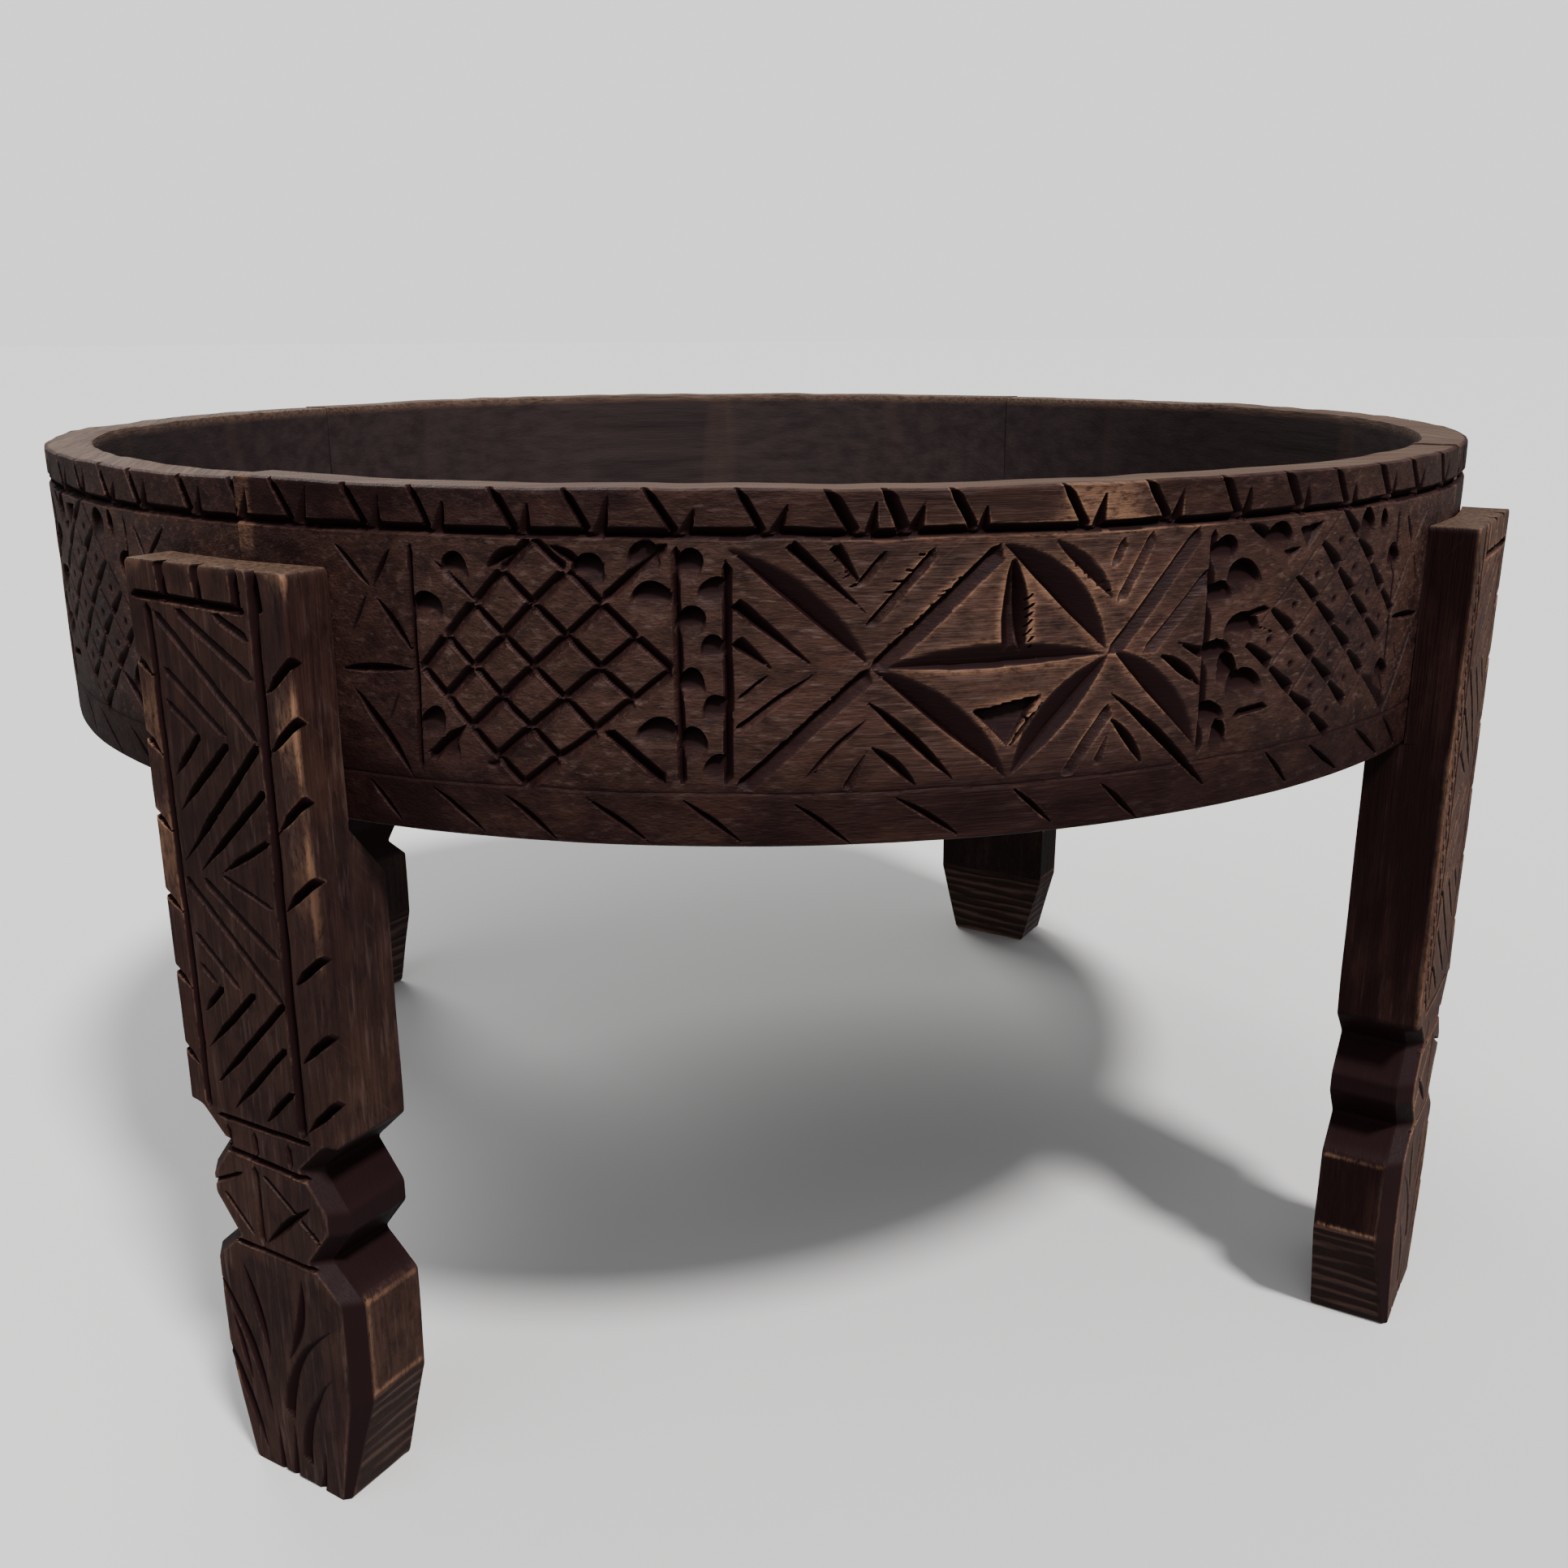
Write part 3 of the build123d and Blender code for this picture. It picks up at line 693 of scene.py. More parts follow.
def ring_segment(side, corner, seed, material):
    """A quarter of the ring. Its outside and the outer part of its top are fine, and the rest is coarse."""
    columns = round(QUARTER / RING_STEP / COARSE) * COARSE
    rows = round(RING_HEIGHT / RING_STEP)
    u = np.linspace(SEAM_GAP / 2, QUARTER - SEAM_GAP / 2, columns + 1)
    grid_u, grid_d = np.meshgrid(u, np.linspace(0, RING_HEIGHT, rows + 1), indexing="ij")
    face = Face(grid_u, grid_d, RING_STEP, seed)
    carved_ring_face(face, "rising" if side == "left" else "falling")
    depth = face.depth
    inner = np.zeros(depth.shape)
    inner[1:-1, 1:-1] = 1
    # a hand-worked surface: slightly lumpy, with a rounded rim and bottom edge, both uneven in height
    lumpy = 0.3 + 0.25 * lumps(grid_u, grid_d, 46, seed + 10) + 0.1 * lumps(grid_u, grid_d, 11, seed + 11)
    edge = np.minimum(grid_d, RING_HEIGHT - grid_d)
    dip = 0.9 + 0.75 * waves(u, 62, seed + 12) + 0.3 * waves(u, 17, seed + 13)
    dip = np.maximum(dip, 0.05)
    sag = 0.25 + 0.25 * waves(u, 90, seed + 14)
    radius = RIM_RADIUS - lumpy - rounded_over(edge, 1.3) - depth
    height = RING_TOP - grid_d - face.shift_y * inner - dip[:, None] * unit(1 - grid_d / 14)
    height = height + sag[:, None] * unit((grid_d - RING_HEIGHT + 14) / 14)
    # the outer part of the top, drawn in where a cut runs over the edge
    reach = 8.0
    bite = RIM_RADIUS - radius[:, :1]
    steps = np.array([[1.0, 2.2, 3.8, 5.6, reach]])
    top_radius = RIM_RADIUS - (bite + steps * (reach + 1.5 - bite) / reach)
    top_height = np.repeat(height[:, :1], steps.size, 1)
    fine_r = join(radius[:, ::-1], top_radius, axis=1)
    fine_z = join(height[:, ::-1], top_height, axis=1)
    fine_u = join((grid_u + face.shift_x * inner)[:, ::-1], np.repeat(u[:, None], steps.size, 1), axis=1)
    creases = join(face.crease[:, ::-1], np.zeros(top_radius.shape, int), axis=1)
    # the section's coarse side: (how far in from the outside, height), from the top inwards and down
    last = top_height[::COARSE, -1]
    low = height[::COARSE, -1]
    groove = WALL - FLOOR_GROOVE_DEPTH
    section = [
        (WALL - 5, last), (WALL - 1.6, last), (WALL - 0.5, last - 0.5), (WALL, last - 1.9),
        *((WALL, last + (FLOOR_TOP - last) * k / 16) for k in range(1, 17)),
        (groove, FLOOR_TOP), (groove, FLOOR_UNDERSIDE), (WALL, FLOOR_UNDERSIDE), (WALL, RING_BOTTOM + 2.0),
        (WALL - 1.0, RING_BOTTOM + 0.8), (WALL * 0.6, low), (WALL * 0.3, low),
    ]
    coarse_u = u[::COARSE]
    coarse_r = np.stack([RIM_RADIUS - inset + 0 * coarse_u for inset, _ in section], 1)
    coarse_z = np.stack([z + 0 * coarse_u for _, z in section], 1)
    wall_u = np.repeat(coarse_u[:, None], len(section), 1)
    hollows = 0.5 * unit(lumps(wall_u, coarse_z, 34, seed + 16))
    uneven = 0.5 + 0.45 * lumps(wall_u, coarse_z * 0.4, 60, seed + 15) + hollows
    coarse_r = coarse_r + np.where((coarse_z > FLOOR_TOP + 4) & (coarse_r < INNER_RADIUS + 2), uneven, 0)
    # points
    all_r, all_z = flat(fine_r, coarse_r), flat(fine_z, coarse_z)
    turn = radians(CORNERS[corner][0]) + flat(fine_u, wall_u) / RIM_RADIUS
    points = np.stack([all_r * np.cos(turn), all_r * np.sin(turn), all_z], 1)
    # faces: fine, coarse, the two joins between them, and the ends
    fine = np.arange(fine_r.size).reshape(fine_r.shape)
    coarse = fine_r.size + np.arange(coarse_r.size).reshape(coarse_r.shape)
    faces = grid_faces(fine, creases) + grid_faces(coarse)
    for k in range(len(coarse) - 1):
        run = slice(k * COARSE, (k + 1) * COARSE + 1)
        for end in (-1, 0):
            faces.append([*fine[run, end].tolist(), int(coarse[k + 1, -1 - end]), int(coarse[k, -1 - end])])
    faces += [[*fine[end].tolist(), *coarse[end].tolist()] for end in (0, -1)]
    # what the material reads
    arris, rubbed, pooled_stain_and_shade, beside = wear_of(depth, RING_STEP)

    def patch(middle_u, half_u, middle_d, half_d):
        """A patch with soft edges, from 0 to 1."""
        return np.exp(-(((grid_u - middle_u) / half_u) ** 4) - ((grid_d - middle_d) / half_d) ** 4)

    def layer(outside, top=0.0, rest=0.0):
        """A layer's values on the outside, the fine part of the top and the coarse points, in one row."""
        return flat(join(outside[:, ::-1], top + 0 * top_radius, axis=1), rest + 0 * coarse_r)

    golden = 0.3 + 0.5 * np.exp(-(((grid_u - GOLDEN) / 52) ** 2))
    handled = patch(GOLDEN - 8, 56, 53, 41) * (0.36 + 0.42 * beside) + 0.62 * patch(GOLDEN + 13, 17, 7, 8)
    handled = handled * (depth < UNCUT) + 0.15 * beside * (grid_d < 96)
    bare = unit((9 - grid_u) / 2) * unit((28 - grid_d) / 3)
    wear = unit(arris * golden + handled + 0.3 * unit(1 - edge / 1.5)) + 0.5 * bare
    # darker towards the bottom, in the top band and towards the leg, and with pooled stain and painted
    # crease shade in and beside the cuts
    low_shade = 0.45 * unit((grid_d - 78) / 22) + 0.3 * unit((grid_d - 99) / 5) + 0.42 * (grid_d < TOP_BAND)
    shade = unit(0.5 * pooled_stain_and_shade + low_shade + 0.5 * unit((84 - grid_u) / 16))
    coarse_top = coarse_z > RING_TOP - 4
    coarse_inside = (coarse_r < INNER_RADIUS + 3) & (coarse_z < RING_TOP - 3)
    none = 0 * depth
    along = turn - radians(CORNERS[corner][0]) - pi / 4
    grain = np.stack([all_r * np.sin(along), all_r * np.cos(along), all_z], 1) * MM
    new_piece(
        f"carved_rim_{side}", points, faces, material, f"rim_segment_{side}", "carved_wood",
        wear=layer(wear, 0.3, 0.3 * coarse_top), rubbed=layer(rubbed * (0.7 + 0.5 * golden)),
        shade=layer(shade), cut=layer(face.stain), top=layer(none, 1.0, coarse_top),
        inside=layer(none, 0.0, coarse_inside), sawn=layer(none), grain=grain,
    )


def leg_half_width(z, drop):
    """Half of a leg's width at each height."""
    body, levels = LEG_WIDTH / 2, (FOOT_TOP, LOWER_WAIST, BEAD_BOTTOM, BEAD_TOP, UPPER_WAIST, BODY_BOTTOM)
    heights = (0, TAPER_TOP, *(level - drop for level in levels), LEG_TOP)
    halves = (TOE_HALF, body, body, WAIST_HALF, BEAD_HALF, BEAD_HALF, WAIST_HALF, body, body)
    return np.mean([np.interp(z + step, heights, halves) for step in np.linspace(-1, 1, 5)], 0)


def directions(corner):
    """A corner's directions away from the ring's axis, and to the right of that."""
    a = radians(CORNERS[corner][0])
    return np.array([cos(a), sin(a), 0]), np.array([-sin(a), cos(a), 0])


def plank_leg(corner, seed, material):
    """A sawn and carved leg, built as rings of points round it from its foot to its top. The tables run
    round it and then up it."""
    drop, (inset, fall) = CORNERS[corner][1:]
    turned = corner in ("front_right", "rear_left")
    z = np.linspace(0, LEG_TOP, round(LEG_TOP / LEG_STEP) + 1)
    shelf = np.searchsorted(z, RING_BOTTOM)
    z = join(z[:shelf], [RING_BOTTOM, RING_BOTTOM], z[shelf:])
    above = np.arange(z.size) > shelf
    half = leg_half_width(z, drop) - LEG_SHY - 0.3 * waves(z, 40, seed + 20)
    # the front, fine, as shares of the half width
    bevelled = CORNER_BEVEL * (0.35 + 0.65 * unit(z / TAPER_TOP))
    border = np.linspace(1, 0, round(CORNER_BEVEL / LEG_STEP) + 1)[1:, None] * bevelled
    share = np.linspace(-1, 1, round((LEG_WIDTH - 2 * CORNER_BEVEL) / LEG_STEP) + 1)
    middle_t = share[:, None] * (half - bevelled)[None, :]
    t = join(border[::-1] - half, middle_t, half - border)
    front_points = t.shape[0]
    tall = np.repeat(z[None, :], front_points, 0)
    face = Face(t, LEG_TOP - tall, LEG_STEP, seed)
    carved_leg_face(face, drop, turned, corner == "front_right")
    depth = face.depth
    inner = np.zeros(t.shape)
    inner[1:-1, 1:-1] = 1
    inner[:, shelf - 1:shelf + 3] = 0
    for kept in (len(border), front_points - 1 - len(border)):
        inner[kept, z < BODY_BOTTOM] = 0
    edge = half - np.abs(t)
    bevel = np.clip(bevelled - edge, 0, None) * unit((BODY_BOTTOM - drop - z) / 4)
    rounded = unit(1 - edge / 1.2) ** 2 * 0.9 * (z > BODY_BOTTOM - drop)
    lumpy = 0.3 + 0.25 * lumps(t, tall, 38, seed + 21) + 0.08 * lumps(t, tall, 9, seed + 22)
    front = LEG_FACE - lumpy - rounded - bevel - depth
    front_t = t + face.shift_x * inner
    front_z = tall - face.shift_y * inner
    # the back: flat below the shoulder, bevelled at it, and hollowed to the ring above it
    back_points = 24
    back_t = np.linspace(1, -1, back_points)[:, None] * half[None, :]
    shoulder = unit((z - RING_BOTTOM + fall) / fall) * inset
    flat_back = np.repeat((LEG_BACK + shoulder)[None, :], back_points, 0)
    seat = np.sqrt(RIM_RADIUS**2 - back_t**2)
    back = np.where(above, seat, np.where(shoulder > 0, np.minimum(flat_back, seat), flat_back))
    back = back + np.where(above, 0, 0.3 + 0.3 * lumps(back_t, z + 0 * back_t, 30, seed + 23))
    # the sides, drawn between the front's and the back's corners
    side_points = 14
    s = np.linspace(0, 1, side_points + 2)[1:-1][:, None]
    right = front[-1:] * (1 - s) + back[:1] * s
    left = back[-1:] * (1 - s) + front[:1] * s
    hollow = 0.25 * (1 + lumps(s * 36, z + 0 * s, 21, seed + 24))
    ring_t = join(front_t, half - hollow, back_t, hollow[::-1] - half)
    ring_y = join(front, right, back, left)
    ring_z = np.repeat(z[None, :], ring_t.shape[0], 0)
    ring_z[:front_points] = front_z
    # the top and the foot have worn arrises
    for end, inward in ((0, 1), (z.size - 1, -1)):
        middle = (ring_y[:, end].mean(), ring_t[:, end].mean())
        for k, shrink in enumerate((1.3, 0.5, 0.15)):
            line = end + inward * k
            off_y, off_t = ring_y[:, line] - middle[0], ring_t[:, line] - middle[1]
            ring_y[:, line] -= off_y / np.hypot(off_y, off_t) * shrink
            ring_t[:, line] -= off_t / np.hypot(off_y, off_t) * shrink
    outward, rightward = directions(corner)
    points = ring_y.reshape(-1, 1) * outward + ring_t.reshape(-1, 1) * rightward
    points[:, 2] = ring_z.ravel()
    index = np.arange(ring_t.size).reshape(ring_t.shape)
    faces = grid_faces(index[:front_points], face.crease)
    faces += grid_faces(join(index[front_points - 1:], index[:1]))
    faces += [index[:, 0].tolist(), index[:, -1].tolist()]
    # what the material reads
    plain = np.zeros((ring_t.shape[0] - front_points, z.size))
    arris, rubbed, pooled_stain_and_shade, beside = wear_of(depth, LEG_STEP)
    patchy = unit(0.5 + 1.1 * waves(z, 30, seed + 25))
    # how free a leg's sides are of its darker stain and painted shadow; its wear shows less where they are
    # dark
    free_of_stain_and_shadow = 1 - LEG_STAIN_AND_SHADOW[corner]
    strip = unit((np.abs(t) - 30) / 3) * (z > BODY_BOTTOM) * patchy * (depth < 0.2)
    fretted = 1.0 if corner == "front_right" else 0.0
    # wear on the face, and on the fretted leg a painted highlight on its uncut relief as well
    front_wear_and_highlight = arris * 0.4 + 0.2 * beside + 0.6 * free_of_stain_and_shadow * strip + 0.36 * fretted * (depth < 0.3)
    front_wear_and_highlight = front_wear_and_highlight + (0.9 - 0.6 * fretted) * unit(1 - edge / 1.4) * patchy
    at_bevel = unit(1 - np.abs(edge - bevelled - 0.6) / 1.2)
    front_wear_and_highlight = front_wear_and_highlight + 0.45 * at_bevel * (z < BODY_BOTTOM - drop)
    side_wear = unit(1 - s / 0.13) * (0.2 + patchy) + 0.5 * unit(1 - (1 - s) / 0.08)
    side_wear = side_wear + 0.16 * (z > TAPER_TOP) * (z < FOOT_TOP - drop)
    side_wear = (0.06 + side_wear) * (0.1 + 0.9 * free_of_stain_and_shadow)
    for end, reach in ((FOOT_TOP - drop - 1.5, 1.8), (TAPER_TOP + SAW_LINE, 2.0)):
        side_wear = side_wear + 0.75 * unit(1 - np.abs(z - end) / reach)
    wear = join(front_wear_and_highlight, side_wear, 0.1 + 0 * back_t, side_wear[::-1])
    # stain and painted shade in the sawn notches of the waists and the bead, darker where the leg is
    # narrower
    notch_stain_and_shade = 1.5 * unit((LEG_WIDTH / 2 - half) / 8) * (z > FOOT_TOP - drop)
    in_cut = join(np.where(bevel > 0.2, 0.55, face.stain), plain + notch_stain_and_shade)
    # the leg's face darker, with pooled stain and painted crease shade in and beside the cuts, and less so
    # on the fretted leg
    front_shade = (0.3 + 0.2 * (z > BODY_BOTTOM) + 0.5 * pooled_stain_and_shade) * (1 - 0.7 * fretted)
    # the sides: a darker stain on the front right leg, and a painted shadow of the ring on the rear legs
    shade = join(front_shade, plain + max(LEG_STAIN_AND_SHADOW[corner], 0.22))
    panel = 1.2 * unit((z - TAPER_TOP) / 3) * (z < FOOT_TOP - drop)
    # on the fretted leg the whole face is lightened as a painted highlight
    rubbed = join(rubbed + 0.1 + 0.5 * fretted, plain + (0.25 + panel) * free_of_stain_and_shadow)
    on_top = np.zeros(ring_t.shape)
    on_top[:, -1] = 1
    sawn = join(0 * t, plain + unit((TAPER_TOP + SAW_LINE - z) / 3))
    grain = np.stack([ring_z.ravel(), ring_t.ravel(), ring_y.ravel() - LEG_BACK], 1) * MM
    new_piece(
        f"carved_leg_{corner}", points, faces, material, f"leg_{corner}", "carved_wood",
        wear=wear, rubbed=rubbed, shade=shade, cut=in_cut, top=on_top, inside=0 * on_top, sawn=sawn,
        grain=grain,
    )


def plank(node, material, seed, along_y):
    """A board or batten with worn arrises and a slight cup. Its long edges are straight and its ends follow
    the circle that its CAD node is cut to. The tables run round its section and then along it."""
    low, high = (np.array(corner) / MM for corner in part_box(node))
    side, end = (0, 1) if along_y else (1, 0)
    left, right, bottom, top = low[side], high[side], low[2], high[2]
    nearest = 0.0 if left < 0 < right else min(abs(left), abs(right))
    circle = hypot(high[end], nearest)
    left, right = max(left, PLANK_SHY - circle), min(right, circle - PLANK_SHY)
    inset = np.array([0.0, 0.25, 0.9, 2.2, 5.0])
    across = join(left + inset, np.linspace(left + 9, right - 9, 14), (right - inset)[::-1])
    edge = np.minimum(across - left, right - across)
    section = join(across, across[::-1])[:, None]
    along = np.linspace(-1, 1, 60) * np.sqrt(circle**2 - section**2)
    cup = 0.35 * ((across - (left + right) / 2) / ((right - left) / 2)) ** 2
    wavy = 0.25 + 0.2 * lumps(section, along, 55, seed) + 0.08 * lumps(section * 3, along * 0.3, 9, seed + 1)
    upper = (top - rounded_over(edge, 1.1) - (0.35 - cup))[:, None] - wavy[:across.size]
    lower = (bottom + rounded_over(edge, 1.1))[::-1, None] + wavy[across.size:]
    places = [0, 0, join(upper, lower)]
    places[side], places[end] = section + 0 * along, along
    points = np.stack([table.ravel() for table in places], 1)
    index = np.arange(along.size).reshape(along.shape)
    faces = grid_faces(join(index, index[:1])) + [index[:, 0].tolist(), index[:, -1].tolist()]
    worn = unit(1 - join(edge, edge[::-1]) / 2.4)[:, None] + 0 * along
    tone = np.full(along.size, np.random.default_rng(seed).uniform(0, 1))
    new_piece(f"worn_{node}", points, faces, material, node, "board_wood", wear=worn, tone=tone)


def turned_heads(name, node, slot, material, places, outward, profile, slotted, seed):
    """Pins with shaped heads, all in one piece and facing one way. places are the middles of their heads'
    undersides, and profile is (radius, height) from a pin's tip to its head's crown."""
    rng = np.random.default_rng(seed)
    count = 28
    turn = np.arange(count) * 2 * pi / count
    across = np.cross(outward, (0, 0, 1) if abs(outward[2]) < 0.5 else (1, 0, 0))
    across /= np.linalg.norm(across)
    third = np.cross(outward, across)
    points, faces = [], []
    for place in places:
        index = len(points) + np.arange(len(profile) * count).reshape(len(profile), count)
        slot_turn = rng.uniform(0, pi)
        for radius, height in profile:
            wobble = radius * (1 + 0.03 * np.sin(2 * turn + rng.uniform(0, 6)))
            a, b = wobble * np.cos(turn), wobble * np.sin(turn)
            in_slot = np.abs(a * np.sin(slot_turn) - b * np.cos(slot_turn)) < SLOT_HALF
            level = height - SLOT_DEPTH * (slotted & in_slot & (height > 0.8))
            ring = place + a[:, None] * across + b[:, None] * third + level[:, None] * outward
            points += ring.tolist()
        faces += grid_faces(join(index, index[:, :1], axis=1)) + [index[0].tolist(), index[-1].tolist()]
    new_piece(name, np.array(points), faces, material, node, slot)


def add_screws(corner, seed, material):
    """The four screws of a leg, with slotted heads on the inside of the ring."""
    outward, rightward = directions(corner)
    inside = (INNER_RADIUS**2 - SCREW_OFFSET**2) ** 0.5
    places = [
        (inside + SCREW_HEAD_HEIGHT) * outward + side * SCREW_OFFSET * rightward + np.array([0, 0, level])
        for side in (-1, 1)
        for level in SCREW_LEVELS
    ]
    tip = SCREW_HEAD_HEIGHT + 1 - SCREW_LENGTH
    rim = [(0.9 * SCREW_HEAD_RADIUS, 0), (SCREW_HEAD_RADIUS, 0.3), (0.98 * SCREW_HEAD_RADIUS, 1.2)]
    shares = np.linspace(0.94, 0.04, 12)
    dome = [(share * SCREW_HEAD_RADIUS, SCREW_HEAD_HEIGHT - 1.6 * share**2 - 0.1) for share in shares]
    profile = [(0.4, tip), (SCREW_RADIUS, tip + 3), (SCREW_RADIUS, 0), *rim, *dome]
    node = f"leg_screws_{corner}"
    turned_heads(f"slotted_{node}", node, "screw_steel", material, places, -outward, profile, True, seed)


def add_nails(material):
    """Hammered nail heads, where the CAD nails are: two in each board over each batten."""
    rim = NAIL_MARGIN - board_high.y / MM
    seams = [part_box(f"floor_board_{number}")[1].x / MM + BOARD_GAP / 2 for number in range(1, 5)]
    edges = [rim, *seams, -rim]
    places = []
    for batten in ("floor_batten_front", "floor_batten_rear"):
        low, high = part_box(batten)
        y = (low.y + high.y) / 2 / MM
        for a, b in zip(edges, edges[1:]):
            for side in (-1, 1):
                x = (a + b) / 2 + side * NAIL_ALONG
                places.append(np.array([x, y + side * NAIL_ACROSS, FLOOR_TOP - NAIL_SUNK]))
    radius, height = NAIL_HEAD_RADIUS, NAIL_HEAD_HEIGHT + 0.4
    shank = [(0.3, 0.6 - NAIL_LENGTH), (NAIL_RADIUS, 4 - NAIL_LENGTH), (NAIL_RADIUS, 0)]
    head = [(0.93, 0.1 / height), (1.0, 0.5 / height), (0.92, 0.9), (0.6, 1.0), (0.2, 0.97)]
    profile = shank + [(wide * radius, tall * height) for wide, tall in head]
    up = np.array([0.0, 0.0, 1.0])
    turned_heads("hammered_nails", "floor_nails", "nail_iron", material, places, up, profile, False, 950)


# --- materials ------------------------------------------------------------------------------------


# Linear colours of the carved wood: its faces, where it has worn, and its cuts, with colours for painted
# shade and painted glints among them
# a deep stain, and also the painted shade beside the cuts and the painted shadow on the rear legs
DEEP_STAIN_AND_SHADE = (0.0120, 0.0034, 0.0036, 1)
FACE_DARK = (0.0140, 0.0056, 0.0056, 1)
FACE_LIGHT = (0.056, 0.0245, 0.0205, 1)
FACE_RED = (0.068, 0.026, 0.020, 1)
FACE_BROWN = (0.090, 0.043, 0.028, 1)
# painted glint: a light colour standing in for specular highlights on the faces
FACE_PAINTED_GLINT = (0.125, 0.073, 0.062, 1)
RUBBED_PINK = (0.135, 0.080, 0.070, 1)
GOLDEN_BROWN = (0.31, 0.165, 0.100, 1)
SCRATCHED = (0.15, 0.085, 0.062, 1)
SAWN_DARK = (0.030, 0.015, 0.013, 1)
SAWN_BROWN = (0.105, 0.060, 0.046, 1)
CUT_PURPLE = (0.0190, 0.0078, 0.0086, 1)
# painted shade: the black that the deepest cuts are darkened to
CUT_SHADE_BLACK = (0.012, 0.0046, 0.0050, 1)
DUSTY_DARK = (0.060, 0.037, 0.026, 1)
DUSTY_LIGHT = (0.160, 0.100, 0.070, 1)
WALL_DARK = (0.030, 0.0205, 0.0215, 1)
WALL_LIGHT = (0.050, 0.0345, 0.0350, 1)
WALL_BROWN = (0.080, 0.050, 0.040, 1)
# the height of each material's bumps, in metres
WOOD_BUMP = 0.0010
BOARD_BUMP = 0.0008
METAL_BUMP = 0.0004
SHINE = "Specular IOR Level"


class Shader:
    """A node material being put together."""

    def __init__(self, name):
        self.material = bpy.data.materials.new(name)
        self.material.use_nodes = True
        self.nodes = self.material.node_tree.nodes
        self.links = self.material.node_tree.links
        self.surface = self.nodes["Principled BSDF"]

    def node(self, kind, inputs=(), **settings):
        made = self.nodes.new(kind)
        for key, value in settings.items():
            setattr(made, key, value)
        for socket, value in dict(inputs).items():
            self.put(value, made.inputs[socket])
        return made

    def put(self, value, socket):
        if isinstance(value, bpy.types.NodeSocket):
            self.links.new(value, socket)
        else:
            socket.default_value = value

    def layer(self, name, output="Fac"):
        return self.node("ShaderNodeAttribute", attribute_name=name).outputs[output]

    def noise(self, vector, stretch, detail=4.0, roughness=0.55, offset=0.0, turn=0.0):
        """Noise over a vector in metres, with that many lumps to a metre along each of its axes, turned
        about the second of them."""
        if turn:
            vector = self.node("ShaderNodeMapping", {"Vector": vector, "Rotation": (0, turn, 0)}).outputs[0]
        inputs = {"Vector": vector, "Scale": stretch, "Location": (offset,) * 3}
        scaled = self.node("ShaderNodeMapping", inputs).outputs[0]
        inputs = {"Vector": scaled, "Scale": 1.0, "Detail": detail, "Roughness": roughness}
        return self.node("ShaderNodeTexNoise", inputs).outputs["Fac"]

    def math(self, operation, a, b=0.0, clamp=False):
        return self.node("ShaderNodeMath", {0: a, 1: b}, operation=operation, use_clamp=clamp).outputs[0]

    def times(self, a, b, clamp=False):
        return self.math("MULTIPLY", a, b, clamp)

    def plus(self, a, b):
        return self.math("ADD", a, b)

    def span(self, value, low, high, to_low=0.0, to_high=1.0):
        inputs = {"Value": value, "From Min": low, "From Max": high, "To Min": to_low, "To Max": to_high}
        return self.node("ShaderNodeMapRange", inputs, clamp=True).outputs[0]

    def mix(self, share, a, b):
        made = self.node("ShaderNodeMix", data_type="RGBA")
        for value, socket in zip((share, a, b), (made.inputs[0], made.inputs[6], made.inputs[7])):
            self.put(value, socket)
        return made.outputs[2]

    def stained(self, base, rows):
        """A colour with others laid over it, each by its value's way from low to high, up to a most."""
        for value, low, high, most, colour in rows:
            base = self.mix(self.span(value, low, high, 0, most), base, colour)
        return base

    def bump(self, height, strength, distance):
        inputs = {"Height": height, "Strength": strength, "Distance": distance}
        return self.node("ShaderNodeBump", inputs).outputs[0]

    def finish(self, colour, dull, normal, **others):
        """Gives the surface its colour, its roughness, its bumps and the rest, and returns the material."""
        for name, value in {"Base Color": colour, "Roughness": dull, "Normal": normal, **others}.items():
            self.put(value, self.surface.inputs[name])
        return self.material


